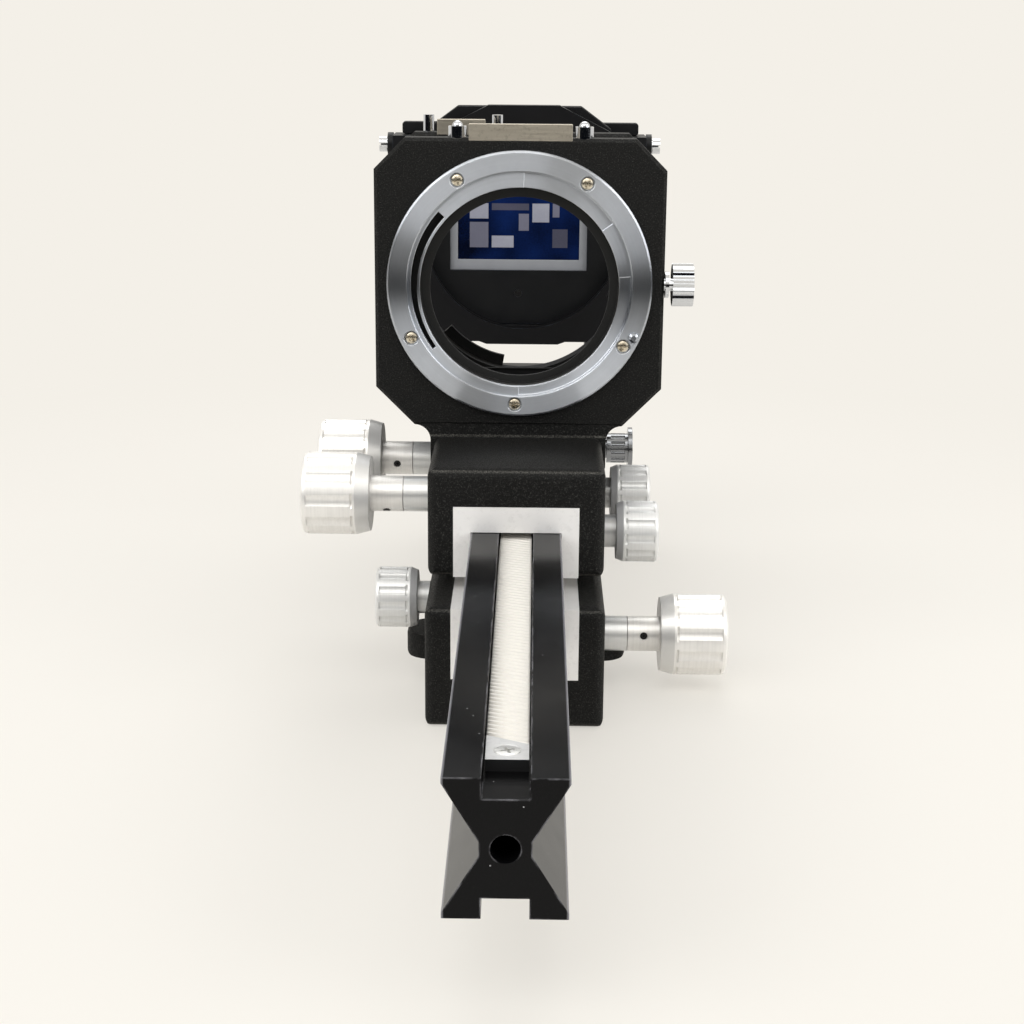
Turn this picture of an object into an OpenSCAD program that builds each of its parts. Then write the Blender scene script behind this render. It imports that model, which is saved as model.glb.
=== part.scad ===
// Bellows copying stand with a slide copying head, at real size.
// X runs across the rail, Y runs along it away from its bare end, and Z is up.
// The origin is the mouth of the tripod thread, in the plane that the stand rests on.

/* [Rail] */
// Length of the double dovetail rail
rail_l = 300; // [280:1:340]
// Width over the dovetail lips
rail_w = 20.6; // [19:0.1:22]
// Height from the lower face to the upper face
rail_h = 24.4; // [23:0.1:26]
// Width of the waist between the two dovetails
waist_w = 8.6; // [7.6:0.1:9.6]
// Height of the upright part of the waist
waist_h = 2.5; // [2:0.1:4]
// Height of the upright land at each lip
lip_h = 1.0; // [0.6:0.1:1.6]
// Length of rail in front of the tripod thread
rail_ahead = 170; // [150:1:185]
// Height of the rail's lower face above the base
rail_lift = 17.8; // [16.8:0.1:20]
// Radius of the tapped hole in each end
end_hole_r = 2.45; // [1.5:0.05:3]
// Depth of the tapped hole in each end
end_hole_l = 16; // [6:1:20]

/* [Racks and pinions] */
// Module of the slanted teeth
tooth_module = 0.54; // [0.5:0.01:0.58]
// Slant of the teeth from square across the rail, in degrees
tooth_slant = 20; // [5:1:25]
// Teeth on each pinion
pinion_teeth = 24; // [22:1:25]
// Width of the racks
rack_w = 7.2; // [6:0.1:7.4]
// Thickness of the racks, from the channel floor to the tooth tips
rack_t = 2.1; // [1.8:0.1:2.4]
// Depth of the channel that holds a rack
channel_d = 3.6; // [3.4:0.1:4]
// Bare channel between the rail's end and a rack's end plate
rack_inset = 11; // [6:1:14]
// Length of the plain end plates
end_plate_l = 8.5; // [8.2:0.1:12]
// Slant of the joint between an end plate and the teeth, in degrees
joint_slant = 28; // [20:1:30]

/* [Standards] */
// Width of the sliding block
block_w = 40.6; // [39:0.1:44]
// Length of the block in front of the plate
block_l = 31.8; // [28:0.1:36]
// Height of the block above the rail
block_rise = 14.9; // [14.5:0.1:18]
// Rounding of the block's cast edges
block_round = 2.2; // [1:0.1:3]
// Half the space between the upper and the lower blocks
parting = 1.6; // [1:0.1:2.5]
// Height of the light axis above the rail
axis_rise = 52.2; // [51:0.1:58]
// Width of the plate
plate_w = 68.8; // [67:0.1:76]
// Height of the plate
plate_h = 68.4; // [67:0.1:76]
// Thickness of the plate
plate_t = 5.5; // [4.5:0.1:7]
// Corner cut at the top of the plate
cut_top = 7.3; // [5:0.1:9]
// Corner cut at the bottom of the plate
cut_low = 9.2; // [6:0.1:10]
// Bevel round the front edge of a plate
edge_bevel = 0.7; // [0.3:0.1:1.2]
// Width of the neck between block and plate
neck_w = 42.6; // [41:0.1:46]
// Thickness of the neck
neck_t = 3; // [2:0.1:3.2]
// Distance from the front standard to the rear one
standard_gap = 35.3; // [35.2:0.1:36]

/* [Dovetail liners] */
// Width over a liner
liner_w = 28.8; // [28:0.1:30]
// Thickness of a liner beyond the rail's face
liner_rise = 6.1; // [5.5:0.1:7]
// Thickness of the liner's wall behind the gib
liner_wall = 2; // [1.5:0.1:2.4]
// Height of the gib
gib_h = 7.4; // [6:0.1:7.6]
// Liner left whole at each end of the gib
gib_margin = 4; // [3:0.5:6]

/* [Mount rings] */
// Outer radius of a mount ring
ring_r = 31.5; // [30.5:0.1:33]
// Height of a ring in front of its plate
ring_rise = 1.5; // [1.2:0.1:2]
// Radius of the step inside the flange
ring_step_r = 26.8; // [26.7:0.1:27]
// Depth of the step
ring_step = 0.6; // [0.4:0.1:0.8]
// Inner radius of the spigot
spigot_r = 26.4; // [26:0.1:26.5]
// How far the bellows and the rear plate lie below the centre of the front ring
light_drop = 1.2; // [0:0.1:1.6]
// Wall of the spigot
spigot_wall = 0.9; // [0.7:0.1:1]
// Length of the spigot in the plate
spigot_l = 4.5; // [3:0.1:4.8]
// Radius inside the bayonet lugs
throat_r = 23.7; // [23:0.1:24.4]
// Thickness of the bayonet lugs
lug_t = 1.4; // [1:0.1:1.6]
// Radius of the ring screws' circle
ring_screw_pcd_r = 28.7; // [28.6:0.1:29]
// Radius of a ring screw's head
ring_screw_head_r = 1.45; // [1.3:0.05:1.5]

/* [Focusing knobs] */
// Radius of a focusing knob
focus_r = 9.7; // [9:0.1:10.5]
// Length of the fluted body
focus_body_l = 12.2; // [10:0.1:16]
// Length of the plain flange and its bevel
focus_flange_l = 3.7; // [3:0.1:5]
// Flutes round a focusing knob
focus_flutes = 11; // [8:1:12]
// Radius of the hub and of the bearing sleeve
hub_r = 4.2; // [3.8:0.1:4.6]
// Length of the hub
hub_l = 7.7; // [6:0.1:10]
// Length of the bearing sleeve outside the block
sleeve_l = 6.3; // [4:0.1:8]
// Radius of the pinion shafts
shaft_r = 2.5; // [2:0.1:2.8]

/* [Lock knobs] */
// Radius of a lock knob
lock_r = 7.2; // [6.5:0.1:7.4]
// Length of the fluted body
lock_body_l = 7.8; // [6:0.1:10]
// Length of the plain flange
lock_flange_l = 2.1; // [1.5:0.1:3]
// Flutes round a lock knob
lock_flutes = 12; // [8:1:13]
// Length of the neck between block and flange
lock_neck_l = 2.9; // [2:0.1:5]
// Radius of the neck
lock_neck_r = 3.9; // [3:0.1:4.2]
// Radius of the lock screw
lock_screw_r = 2; // [1.5:0.1:2.4]
// Depth of the lock screw below the rail's upper face
lock_drop = 3.7; // [3.5:0.1:4.5]

/* [Tripod block] */
// Length of the block in front of the tripod thread
tripod_fore = 45.4; // [40:0.1:52]
// Length of the block behind the tripod thread
tripod_aft = 28; // [24:0.1:34]
// Width over the two side lugs
lug_w = 52.8; // [46:0.1:56]
// Length of a side lug along the rail
lug_l = 13; // [12.5:0.1:16]
// Thickness of a side lug
lug_h = 6; // [4:0.1:7]
// Height of the side lugs above the base
lug_lift = 6.3; // [4:0.1:8]
// Distance of the side lugs in front of the tripod thread
lug_ahead = 11; // [6:0.1:14]
// Radius of the tripod thread
thread_r = 3.175; // [3.1:0.005:4.8]
// Depth of the tripod thread
thread_l = 9.5; // [8:0.1:11]
// Radius of the threaded bush
bush_r = 5.6; // [5.2:0.1:6.5]

/* [Bellows] */
// Half the width over the outer folds
fold_out = 31.6; // [30.5:0.1:31.7]
// Depth of a fold
fold_d = 5.5; // [3:0.1:5.6]
// Thickness of the cloth
cloth_t = 0.6; // [0.5:0.1:0.7]
// Folds in each half of the bellows
folds = 9; // [5:1:9]
// Thickness of the end frames
frame_t = 1.2; // [0.8:0.1:2]

/* [Copying head] */
// Length of the foot along the rail
head_foot_l = 22; // [20:0.5:26]
// Width of the foot
head_foot_w = 40.6; // [40:0.1:42]
// Height of the foot above the rail
head_foot_rise = 9; // [6:0.1:10]
// Depth of the foot below the rail's upper face
head_foot_drop = 20; // [19:0.1:21]
// Thickness of the upright cheeks
cheek_t = 5; // [4:0.1:6]
// Length of the cheeks along the rail
cheek_l = 14; // [10:0.1:16]
// Width of the front plate
head_plate_w = 68; // [66:0.1:72]
// Thickness of the front plate
head_plate_t = 4; // [3:0.1:5]
// Radius of the round opening
head_opening_r = 29; // [28:0.1:30]
// Sideways place of the slide stage
stage_shift = -1.3; // [-3:0.1:3]
// Height of the slide's centre above the light axis
slide_rise = 2.7; // [2:0.1:3]
// Width of the stage
stage_w = 74; // [72:0.1:78]
// Depth of the stage
stage_d = 13.2; // [12.5:0.1:13.4]
// Wall of the stage
stage_wall = 2; // [1.6:0.1:2.6]
// Lowest edge of the stage below the light axis
stage_below = 28.2; // [27.5:0.1:29]
// Highest edge of the stage above the light axis
stage_above = 26.8; // [26.5:0.1:28]
// Height of the slide guide above the stage
guide_rise = 8.6; // [7:0.1:11]
// Greatest swing of the diffuser frame's ears
ear_r = 3.4; // [3:0.1:3.8]
// Thickness of the ears
ear_t = 1.6; // [1.3:0.1:2.5]
// Thickness of the diffuser frame
door_t = 3; // [2.4:0.1:4]
// Radius of the clamp screw's barrel
clamp_r = 4.5; // [4:0.1:5.5]
// Radius of the clamp screw's rim
clamp_rim_r = 6.4; // [5.5:0.1:7]

/* [Slide] */
// Side of the slide mount
slide_side = 50; // [49:0.1:50.2]
// Thickness of the slide mount
slide_t = 2; // [1.2:0.1:2]
// Width of the picture
film_w = 36; // [34:0.1:36]
// Height of the picture
film_h = 24; // [23:0.1:24]

/* [Fits] */
// Space between a sliding face and its guide
slide_gap = 0.12; // [0.08:0.01:0.18]
// Radial space between a shaft and its bore
run_gap = 0.05; // [0.03:0.01:0.08]
// Space round a piece that is seated
seat_gap = 0.05; // [0.03:0.01:0.1]
// Space between pieces that pass each other
pass_gap = 0.3; // [0.2:0.05:0.4]

/* [Hidden] */
$fn = 48;

cut = 1;                       // how far a cut runs past what it cuts
mid_z = rail_lift + rail_h / 2;
rail_top = rail_lift + rail_h;
rail_y0 = -rail_ahead;
rail_y1 = rail_l - rail_ahead;
axis_z = rail_top + axis_rise;
light_z = axis_z - light_drop;

// Teeth: sizes across the tooth come from the module, sizes along the rack from the slant
pitch = PI * tooth_module / cos(tooth_slant);
pinion_r = pinion_teeth * tooth_module / cos(tooth_slant) / 2;
tooth_foot = 1.25 * tooth_module;
mesh_play = 0.12;              // play between teeth, taken off the pinion's teeth
mesh_lift = 0.05;              // extra distance between a pinion and its rack
pressure_angle = 20;
tip_r = pinion_r + tooth_module;
root_r = pinion_r - tooth_foot;
rack_face = rail_top - channel_d + rack_t;
pinion_z = rack_face - tooth_module + pinion_r + mesh_lift;
pocket_r = tip_r + 0.5 * tooth_module + slide_gap;
pocket_w = rack_w + 2 * pass_gap + 2 * slide_gap;
channel_w = rack_w + 2 * pass_gap;

// Blocks
block_low = mid_z + parting;
block_top = rail_top + block_rise;
liner_top = rail_top + liner_rise;
drive_y = -block_l / 2;
lock_z = rail_top - lock_drop;
sleeve_in = liner_w / 2 + pass_gap;
journal_l = 3;                 // length of the shaft's far end in the block
neck_step = 0.4;               // how far the neck lies inside the plate's front and the block's back
shaft_share = 0.7;             // share of a knob's body that its shaft fills
shaft_out = block_w / 2 + sleeve_l + hub_l + shaft_share * focus_body_l;
hub_play = 0.1;                // end play between a sleeve and a hub
gib_drop = 0.6;                // gib's upper edge below the rail's lip
gib_top = rail_top - lip_h - gib_drop;
gib_tip = 0.1;                 // end play between a lock screw and its gib

// Set screws in the hubs, and how far round each hub is turned in the resting pose
set_r = 0.85;
set_depth = 0.35;
front_turn = 54;
rear_turn = 8;
drive_turn = 10;

// Plate furniture
bellows_y0 = plate_t + frame_t;
bellows_y1 = standard_gap - frame_t;
bellows_mid = (bellows_y0 + bellows_y1) / 2;
plate_top = axis_z + plate_h / 2;
rear_top = light_z + plate_h / 2;
ring_screw_angles = [121, 56.8, -30, -91.8, -153.6];
ring_screw_r = 1;
ring_screw_l = 3.6;
ring_screw_sink = 0.25;
ring_screw_room = 0.3;           // round a sunk head
lug_shelves = [[-90, 5], [34, 88]]; // sectors of the front ring that lie lower
shelf_d = 0.4;
lug_slit = [138, 217];           // sector in which a curved slit runs along the lug
slit_rim = 0.6;                  // metal left inside the slit and outside it
throat_drop = 0.7;               // the throat lies this much below the ring's centre
rear_lug_gaps = [[-41, 40], [-161, -80], [79, 160]];
lock_pin_angle = -24;
lock_pin_r = 1.2;
lock_pin_rise = 0.9;
lock_pin_l = 2.5;
front_catch_x = [-12.1, 12.1];
rear_catch_x = [-21.3, -9.2];
catch_rise = 3.3;
catch_t = 1.3;
catch_seat = 0.6;
catch_foot = 3;
catch_foot_t = 0.8;
front_plunger_x = [-14.8, 14.9];
plunger_r = 2.15;
plunger_wall = 0.5;
plunger_h = 2.6;
plunger_ball_r = 1.25;
plunger_sink = 2;
rear_pin_x = [-23.6, -6.2];
rear_pin_r = 1.35;
rear_pin_h = 4.2;
rear_pin_sink = 2;
rear_pin_share = 0.7;          // place of the pins in the plate's thickness
rear_pin_y = standard_gap + plate_t * rear_pin_share;
ring_lock_r = 5.1;
ring_lock_l = 5;
ring_lock_neck_r = 1.5;
ring_lock_neck_l = 1.7;
ring_lock_thread_l = plate_w / 2 - spigot_r - spigot_wall - seat_gap;
ring_lock_knurls = 30;
knurl_d = 0.35;

// Copying head
head_y1 = rail_y1 - cut;
head_y0 = head_y1 - head_foot_l;
head_back = head_y0 + head_plate_t;
stage_y0 = head_back + pass_gap;
stage_y1 = stage_y0 + stage_d;
stage_z0 = axis_z - stage_below;
stage_z1 = axis_z + stage_above;
slide_z = axis_z + slide_rise;
slide_set_back = 1.3;
slide_y = stage_y0 + slide_set_back;
slot_t = slide_t + 2 * pass_gap;
slot_y0 = slide_y - pass_gap;
clamp_y = head_y0 + cheek_l / 2;
clamp_drop = 14.6;
clamp_z = rail_top - clamp_drop;
pivot_drop = 3;
pivot_ahead = 5.5;
pivot_z = stage_z1 - pivot_drop;
pivot_y = stage_y1 - pivot_ahead;
door_space = 0.8;
door_y0 = stage_y1 + door_space;
tongue_t = 2.1;                // tongue along the stage's lower edge
tongue_h = 5;
stage_window_room = [4.4, 6];
stage_screw_r = 1.1;
stage_screw_l = 1;
stage_screw_sink = 0.1;
stage_screw_drop = 21.8;
stage_screw_z = slide_z - stage_screw_drop;
stage_screw_slot = [1.6, 0.6, 0.4];
door_screw_r = 1.5;
door_screw_in = 2.9;
pane_room = 8;
pane = [film_w + pane_room, film_h + pane_room];
keeper_t = 2;
keeper_lip = 2.4;
keeper_margin = 6;
keeper_low = stage_z0 - pass_gap - keeper_t;

// A bar, hole or shaft along each direction
module along_x(x0, x1, r, y, z) {
    translate([x0, y, z]) rotate([0, 90, 0]) cylinder(h = x1 - x0, r = r);
}
module along_y(y0, y1, r, x, z) {
    translate([x, y0, z]) rotate([-90, 0, 0]) cylinder(h = y1 - y0, r = r);
}
module along_z(z0, z1, r, x, y) {
    translate([x, y, z0]) cylinder(h = z1 - z0, r = r);
}
// A box from its six faces
module box(x0, x1, y0, y1, z0, z1) {
    translate([x0, y0, z0]) cube([x1 - x0, y1 - y0, z1 - z0]);
}
// An outline in X and Z, pushed along the rail from y0 to y1
module along_rail(y0, y1) {
    translate([0, y1, 0]) rotate([90, 0, 0]) linear_extrude(height = y1 - y0) children();
}
// An outline in Y and Z, pushed across from x0 to x1
module across(x0, x1) {
    translate([x0, 0, 0]) rotate([90, 0, 90]) linear_extrude(height = x1 - x0) children();
}
// Things drawn in X and Z whose height runs forward from the plane y, or backward from it
module facing_front(y) {
    translate([0, y, 0]) rotate([90, 0, 0]) children();
}
module facing_back(y) {
    translate([0, y, 0]) rotate([90, 0, 180]) children();
}
// The lower parts are the upper ones turned half round the middle of the rail
module turned_under() {
    translate([0, 0, 2 * mid_z]) rotate([0, 180, 0]) children();
}
module rounded_rect(w, h, r) {
    union() {
        square([w - 2 * r, h], center = true);
        square([w, h - 2 * r], center = true);
        for (sx = [-1, 1], sy = [-1, 1]) translate([sx * (w / 2 - r), sy * (h / 2 - r)]) circle(r);
    }
}
// A block with all of its edges rounded, from three crossing outlines
module cast_block(w, y0, y1, z0, z1, r) {
    l = y1 - y0;
    h = z1 - z0;
    translate([0, (y0 + y1) / 2, (z0 + z1) / 2]) intersection() {
        along_rail(-l / 2, l / 2) rounded_rect(w, h, r);
        across(-w / 2, w / 2) rounded_rect(l, h, r);
        translate([0, 0, -h / 2]) linear_extrude(height = h) rounded_rect(w, l, r);
    }
}
// Cuts a bevel along every edge of an outline whose face is at height 0
module bevel_cut(points, bevel) {
    side = bevel * sqrt(2);
    for (i = [0:len(points) - 1]) {
        a = points[i];
        b = points[(i + 1) % len(points)];
        edge = norm(b - a);
        translate([a[0], a[1], 0])
            rotate([0, 0, atan2(b[1] - a[1], b[0] - a[0])])
                rotate([45, 0, 0])
                    translate([-bevel, -side / 2, -side / 2])
                        cube([edge + 2 * bevel, side, side]);
    }
}

// Rail section, grown by a gap where it cuts a guide
function rail_section(gap) = let(
        w = rail_w / 2 + gap,
        n = waist_w / 2 + gap,
        h = rail_h / 2 + gap,
        k = rail_h / 2 - lip_h,
        m = waist_h / 2)
    [[w, mid_z + h], [w, mid_z + k], [n, mid_z + m], [n, mid_z - m], [w, mid_z - k], [w, mid_z - h],
     [-w, mid_z - h], [-w, mid_z - k], [-n, mid_z - m], [-n, mid_z + m], [-w, mid_z + k], [-w, mid_z + h]];
// Half width of the upper dovetail at a height
function flank_x(z) =
    waist_w / 2 + (rail_w - waist_w) / 2 * (z - mid_z - waist_h / 2) / (rail_h / 2 - lip_h - waist_h / 2);

// A gap in the teeth of a rack: wide at the face, narrow at the foot
tooth_space = [PI * tooth_module / 4 + tooth_module * tan(pressure_angle),
               PI * tooth_module / 4 - tooth_foot * tan(pressure_angle)];
rack_y0 = rail_y0 + rack_inset;
rack_y1 = rail_y1 - rack_inset;
skew = rack_w / 2 * tan(joint_slant);
teeth_y0 = rack_y0 + end_plate_l;
teeth_y1 = rack_y1 - end_plate_l;

module rack_strip(y0, y1, lean0, lean1) {
    translate([0, 0, rail_top - channel_d]) linear_extrude(height = rack_t)
        polygon([[-rack_w / 2, y0 + lean0], [rack_w / 2, y0 - lean0],
                 [rack_w / 2, y1 - lean1], [-rack_w / 2, y1 + lean1]]);
}
// Rack under the upper pinions: one comb of tooth spaces, drawn square to the teeth
module rack() {
    step = PI * tooth_module;
    count = floor((teeth_y1 - teeth_y0) / pitch);
    first = (teeth_y0 - drive_y) / pitch;
    start = ceil(first);
    deep = tooth_module + tooth_foot;
    difference() {
        rack_strip(teeth_y0, teeth_y1, skew, skew);
        translate([0, drive_y, rack_face]) rotate([0, 0, -tooth_slant]) across(-rail_l / 2, rail_l / 2)
            for (k = [start:start + count - 1]) translate([k * step, 0])
                polygon([[-tooth_space[0] - deep * tan(pressure_angle), deep], [-tooth_space[0], 0],
                         [-tooth_space[1], -deep], [tooth_space[1], -deep],
                         [tooth_space[0], 0], [tooth_space[0] + deep * tan(pressure_angle), deep]]);
    }
}
// Outline of a pinion: each flank runs from the root over the pitch circle to the tip
function pinion_points() = let(
        m = tooth_module / cos(tooth_slant),
        deg = 180 / PI,
        tip_turn = (0.36 * m - mesh_play / 2) / tip_r * deg,
        pitch_turn = (0.78 * m - mesh_play / 2) / pinion_r * deg,
        root_turn = (0.92 * m - mesh_play / 2) / root_r * deg)
    [for (i = [0:pinion_teeth - 1], q = [[root_r, -root_turn], [pinion_r, -pitch_turn], [tip_r, -tip_turn],
            [tip_r, tip_turn], [pinion_r, pitch_turn], [root_r, root_turn]])
        let(a = 360 * i / pinion_teeth + q[1]) [q[0] * cos(a), q[0] * sin(a)]];
// A pinion over the upper rack; its lowest tooth sits in the tooth space nearest to it
module pinion(y) {
    offset_y = (drive_y - y) - pitch * round((drive_y - y) / pitch);
    phase = offset_y / pinion_r * 180 / PI;
    twist = rack_w * tan(tooth_slant) / pinion_r * 180 / PI;
    bore = (shaft_r + seat_gap) / cos(15);
    translate([-rack_w / 2, y, pinion_z]) rotate([0, 90, 0]) rotate([0, 0, phase + twist / 2])
        difference() {
            linear_extrude(height = rack_w, twist = twist, slices = 4) polygon(pinion_points());
            translate([0, 0, -cut]) cylinder(h = rack_w + 2 * cut, r = bore, $fn = 12);
        }
}
// Shaft through a pinion: knob end at the left, journal at the right
module pinion_shaft(y) {
    along_x(-shaft_out, liner_w / 2 + journal_l, shaft_r, y, pinion_z);
}
module bearing_sleeve(y) {
    difference() {
        along_x(-block_w / 2 - sleeve_l, -sleeve_in, hub_r, y, pinion_z);
        along_x(-block_w / 2 - sleeve_l - cut, -sleeve_in + cut, shaft_r + run_gap, y, pinion_z);
    }
}
flange_taper_share = 0.09;     // fall of a knob's flange towards the block
flute_w_share = 0.56;          // width of a flute in the space for it
flute_d_share = 0.26;          // depth of a flute in half its width
// Turned and fluted knob, standing on its flange's inner face
module fluted_knob(r, flange_l, body_l, flutes) {
    taper = r * flange_taper_share;
    nose = r * 0.12;
    rim = r * 0.14;
    notch_l = 0.5;
    notch_d = 0.35;
    chord = PI * r / flutes * flute_w_share;
    flute_in = chord * flute_d_share;
    flute_r = (chord * chord + flute_in * flute_in) / flute_in / 2;
    top = flange_l + body_l;
    difference() {
        rotate_extrude() polygon(concat(
            [[0, 0], [r - taper, 0], [r, flange_l - notch_l]],
            [for (a = [0:30:90]) [r - nose + nose * cos(a), top - nose + nose * sin(a)]],
            [[0, top]]));
        for (i = [0:flutes - 1]) rotate([0, 0, 360 * i / flutes])
            translate([r + flute_r - flute_in, 0, flange_l]) {
                cylinder(h = body_l - rim, r = flute_r);
                translate([-notch_d, 0, 0]) cylinder(h = notch_l, r = flute_r);
            }
    }
}
// Focusing knob with its hub, bored for the shaft and cross drilled for the set screw
module focus_knob(y, turn) {
    hub_x = -block_w / 2 - sleeve_l - hub_play;
    translate([hub_x, y, pinion_z]) rotate([turn, 0, 0]) rotate([0, -90, 0]) difference() {
        union() {
            cylinder(h = hub_l + cut, r = hub_r);
            translate([0, 0, hub_l]) fluted_knob(focus_r, focus_flange_l, focus_body_l, focus_flutes);
        }
        translate([0, 0, -cut]) cylinder(h = shaft_out + hub_x + cut + seat_gap, r = shaft_r + seat_gap);
        translate([0, 0, hub_l / 2]) rotate([-90, 0, 180]) cylinder(h = hub_r + cut, r = set_r + seat_gap);
    }
}
module set_screw(y, turn) {
    hub_x = -block_w / 2 - sleeve_l - hub_play;
    translate([hub_x - hub_l / 2, y, pinion_z]) rotate([turn, 0, 0]) rotate([90, 0, 0])
        translate([0, 0, shaft_r + seat_gap]) difference() {
            cylinder(h = hub_r - set_depth - shaft_r - seat_gap, r = set_r);
            translate([0, 0, hub_r - set_depth - shaft_r - set_r])
                cylinder(h = set_r, r = set_r / 2, $fn = 6);
        }
}
// Lock knob turned in one piece with its neck and screw; the screw ends at the gib
module lock_knob(y) {
    tip = liner_w / 2 - liner_wall + gib_tip;
    face = block_w / 2 + pass_gap;
    along_x(tip, face + cut, lock_screw_r, y, lock_z);
    along_x(face, face + lock_neck_l, lock_neck_r, y, lock_z);
    translate([face + lock_neck_l - seat_gap, y, lock_z]) rotate([0, 90, 0])
        fluted_knob(lock_r, lock_flange_l, lock_body_l, lock_flutes);
}
function gib_outline(grow) = [
    [flank_x(gib_top) + slide_gap + seat_gap - grow, gib_top + grow],
    [liner_w / 2 - liner_wall + grow, gib_top + grow],
    [liner_w / 2 - liner_wall + grow, gib_top - gib_h - grow],
    [flank_x(gib_top - gib_h) + slide_gap + seat_gap - grow, gib_top - gib_h - grow]];
module gib(y0, y1) {
    along_rail(y0 + gib_margin + seat_gap, y1 - gib_margin - seat_gap) polygon(gib_outline(0));
}
// U-shaped liner that rides on the upper dovetail
module liner(y0, y1, drive) {
    difference() {
        box(-liner_w / 2, liner_w / 2, y0, y1, block_low, liner_top);
        along_rail(y0 - cut, y1 + cut) polygon(rail_section(slide_gap));
        along_rail(y0 + gib_margin, y1 - gib_margin) polygon(gib_outline(seat_gap));
        along_x(-pocket_w / 2, pocket_w / 2, pocket_r, drive, pinion_z);
        along_x(-liner_w, liner_w, shaft_r + pass_gap, drive, pinion_z);
        along_x(0, liner_w, lock_screw_r + pass_gap, drive, lock_z);
    }
}
// What a sliding block loses for its liner, pinion, sleeve, journal and lock screw
module block_cuts(y0, y1, drive) {
    box(-liner_w / 2 - seat_gap, liner_w / 2 + seat_gap, y0 - cut, y1 + cut,
        block_low - cut, liner_top + seat_gap);
    along_x(-pocket_w / 2, pocket_w / 2, pocket_r, drive, pinion_z);
    along_x(-block_w, 0, shaft_r + pass_gap, drive, pinion_z);
    along_x(-block_w, -liner_w / 2, hub_r + seat_gap, drive, pinion_z);
    along_x(0, liner_w / 2 + journal_l + pass_gap, shaft_r + run_gap, drive, pinion_z);
    along_x(0, block_w, lock_screw_r + run_gap, drive, lock_z);
}

// Octagonal plate round a centre at the height z
function plate_outline(z) = [
    [plate_w / 2, z - plate_h / 2 + cut_low], [plate_w / 2, z + plate_h / 2 - cut_top],
    [plate_w / 2 - cut_top, z + plate_h / 2], [cut_top - plate_w / 2, z + plate_h / 2],
    [-plate_w / 2, z + plate_h / 2 - cut_top], [-plate_w / 2, z - plate_h / 2 + cut_low],
    [cut_low - plate_w / 2, z - plate_h / 2], [plate_w / 2 - cut_low, z - plate_h / 2]];
// Block, neck and plate cast in one piece, with the plate's front face at y and its centre at z
module standard_casting(y, z) {
    color([0.09, 0.09, 0.09]) translate([0, y, 0]) difference() {
        union() {
            cast_block(block_w, -block_l, neck_t, block_low, block_top, block_round);
            box(-neck_w / 2, neck_w / 2, neck_step, neck_t - neck_step,
                block_top - block_rise / 2, z - plate_h / 2 + cut);
            difference() {
                facing_front(plate_t) linear_extrude(height = plate_t) polygon(plate_outline(z));
                facing_front(0) bevel_cut(plate_outline(z), edge_bevel);
            }
        }
        block_cuts(-block_l, neck_t, drive_y);
        along_y(-cut, plate_t + cut, spigot_r + spigot_wall + seat_gap, 0, z);
    }
}
module at_ring(z) translate([0, z, 0]) children();
module ring_screw_places() {
    for (a = ring_screw_angles)
        translate([ring_screw_pcd_r * cos(a), ring_screw_pcd_r * sin(a), 0]) children();
}
// Bayonet ring lying on its plate's plane and rising towards the viewer; its throat has the radius
// throat_r round a centre that lies lower by drop
module bayonet_ring(drop) {
    bevel = 0.4;
    lug_r = throat_r - drop - (drop > 0 ? seat_gap : 0);
    difference() {
        rotate_extrude() polygon([
            [lug_r, ring_rise - ring_step - lug_t], [spigot_r, ring_rise - ring_step - lug_t],
            [spigot_r, -spigot_l], [spigot_r + spigot_wall, -spigot_l], [spigot_r + spigot_wall, 0],
            [ring_r, 0], [ring_r, ring_rise - bevel], [ring_r - bevel, ring_rise],
            [ring_step_r, ring_rise], [ring_step_r, ring_rise - ring_step],
            [lug_r, ring_rise - ring_step]]);
        children();
        ring_screw_places() {
            translate([0, 0, -cut]) cylinder(h = ring_rise + 2 * cut, r = ring_screw_r + seat_gap);
            translate([0, 0, ring_rise - ring_screw_head_r / 2 - ring_screw_sink])
                cylinder(h = ring_screw_head_r, r = ring_screw_head_r + ring_screw_room);
        }
    }
}
// The sector from a0 to a1 of a round bar that reaches up from z, to be taken out of the lugs
module lug_sector(a0, a1, z, r) {
    step = (a1 - a0) / 6;
    far = r / cos(step / 2);
    intersection() {
        translate([0, 0, z]) linear_extrude(height = 3 * lug_t)
            polygon(concat([[0, 0]], [for (i = [0:6]) [far * cos(a0 + i * step), far * sin(a0 + i * step)]]));
        translate([0, 0, z]) cylinder(h = 3 * lug_t, r = r);
    }
}
module ring_screw_set() {
    color([0.72, 0.68, 0.6]) ring_screw_places() difference() {
        union() {
            translate([0, 0, ring_rise - ring_screw_sink - ring_screw_head_r / 2])
                cylinder(h = ring_screw_head_r / 2, r1 = ring_screw_head_r, r2 = ring_screw_head_r * 0.8);
            translate([0, 0, -ring_screw_l]) cylinder(h = ring_screw_l + ring_rise / 2, r = ring_screw_r);
        }
        for (q = [0, 90]) rotate([0, 0, q])
            translate([-ring_screw_head_r * 0.6, -ring_screw_head_r / 8,
                       ring_rise - ring_screw_sink - ring_screw_head_r / 4])
                cube([ring_screw_head_r * 1.2, ring_screw_head_r / 4, ring_screw_head_r]);
    }
}
module ring_screw_holes() {
    ring_screw_places() translate([0, 0, -ring_screw_l - seat_gap])
        cylinder(h = ring_screw_l + cut, r = ring_screw_r + seat_gap);
}
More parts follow.
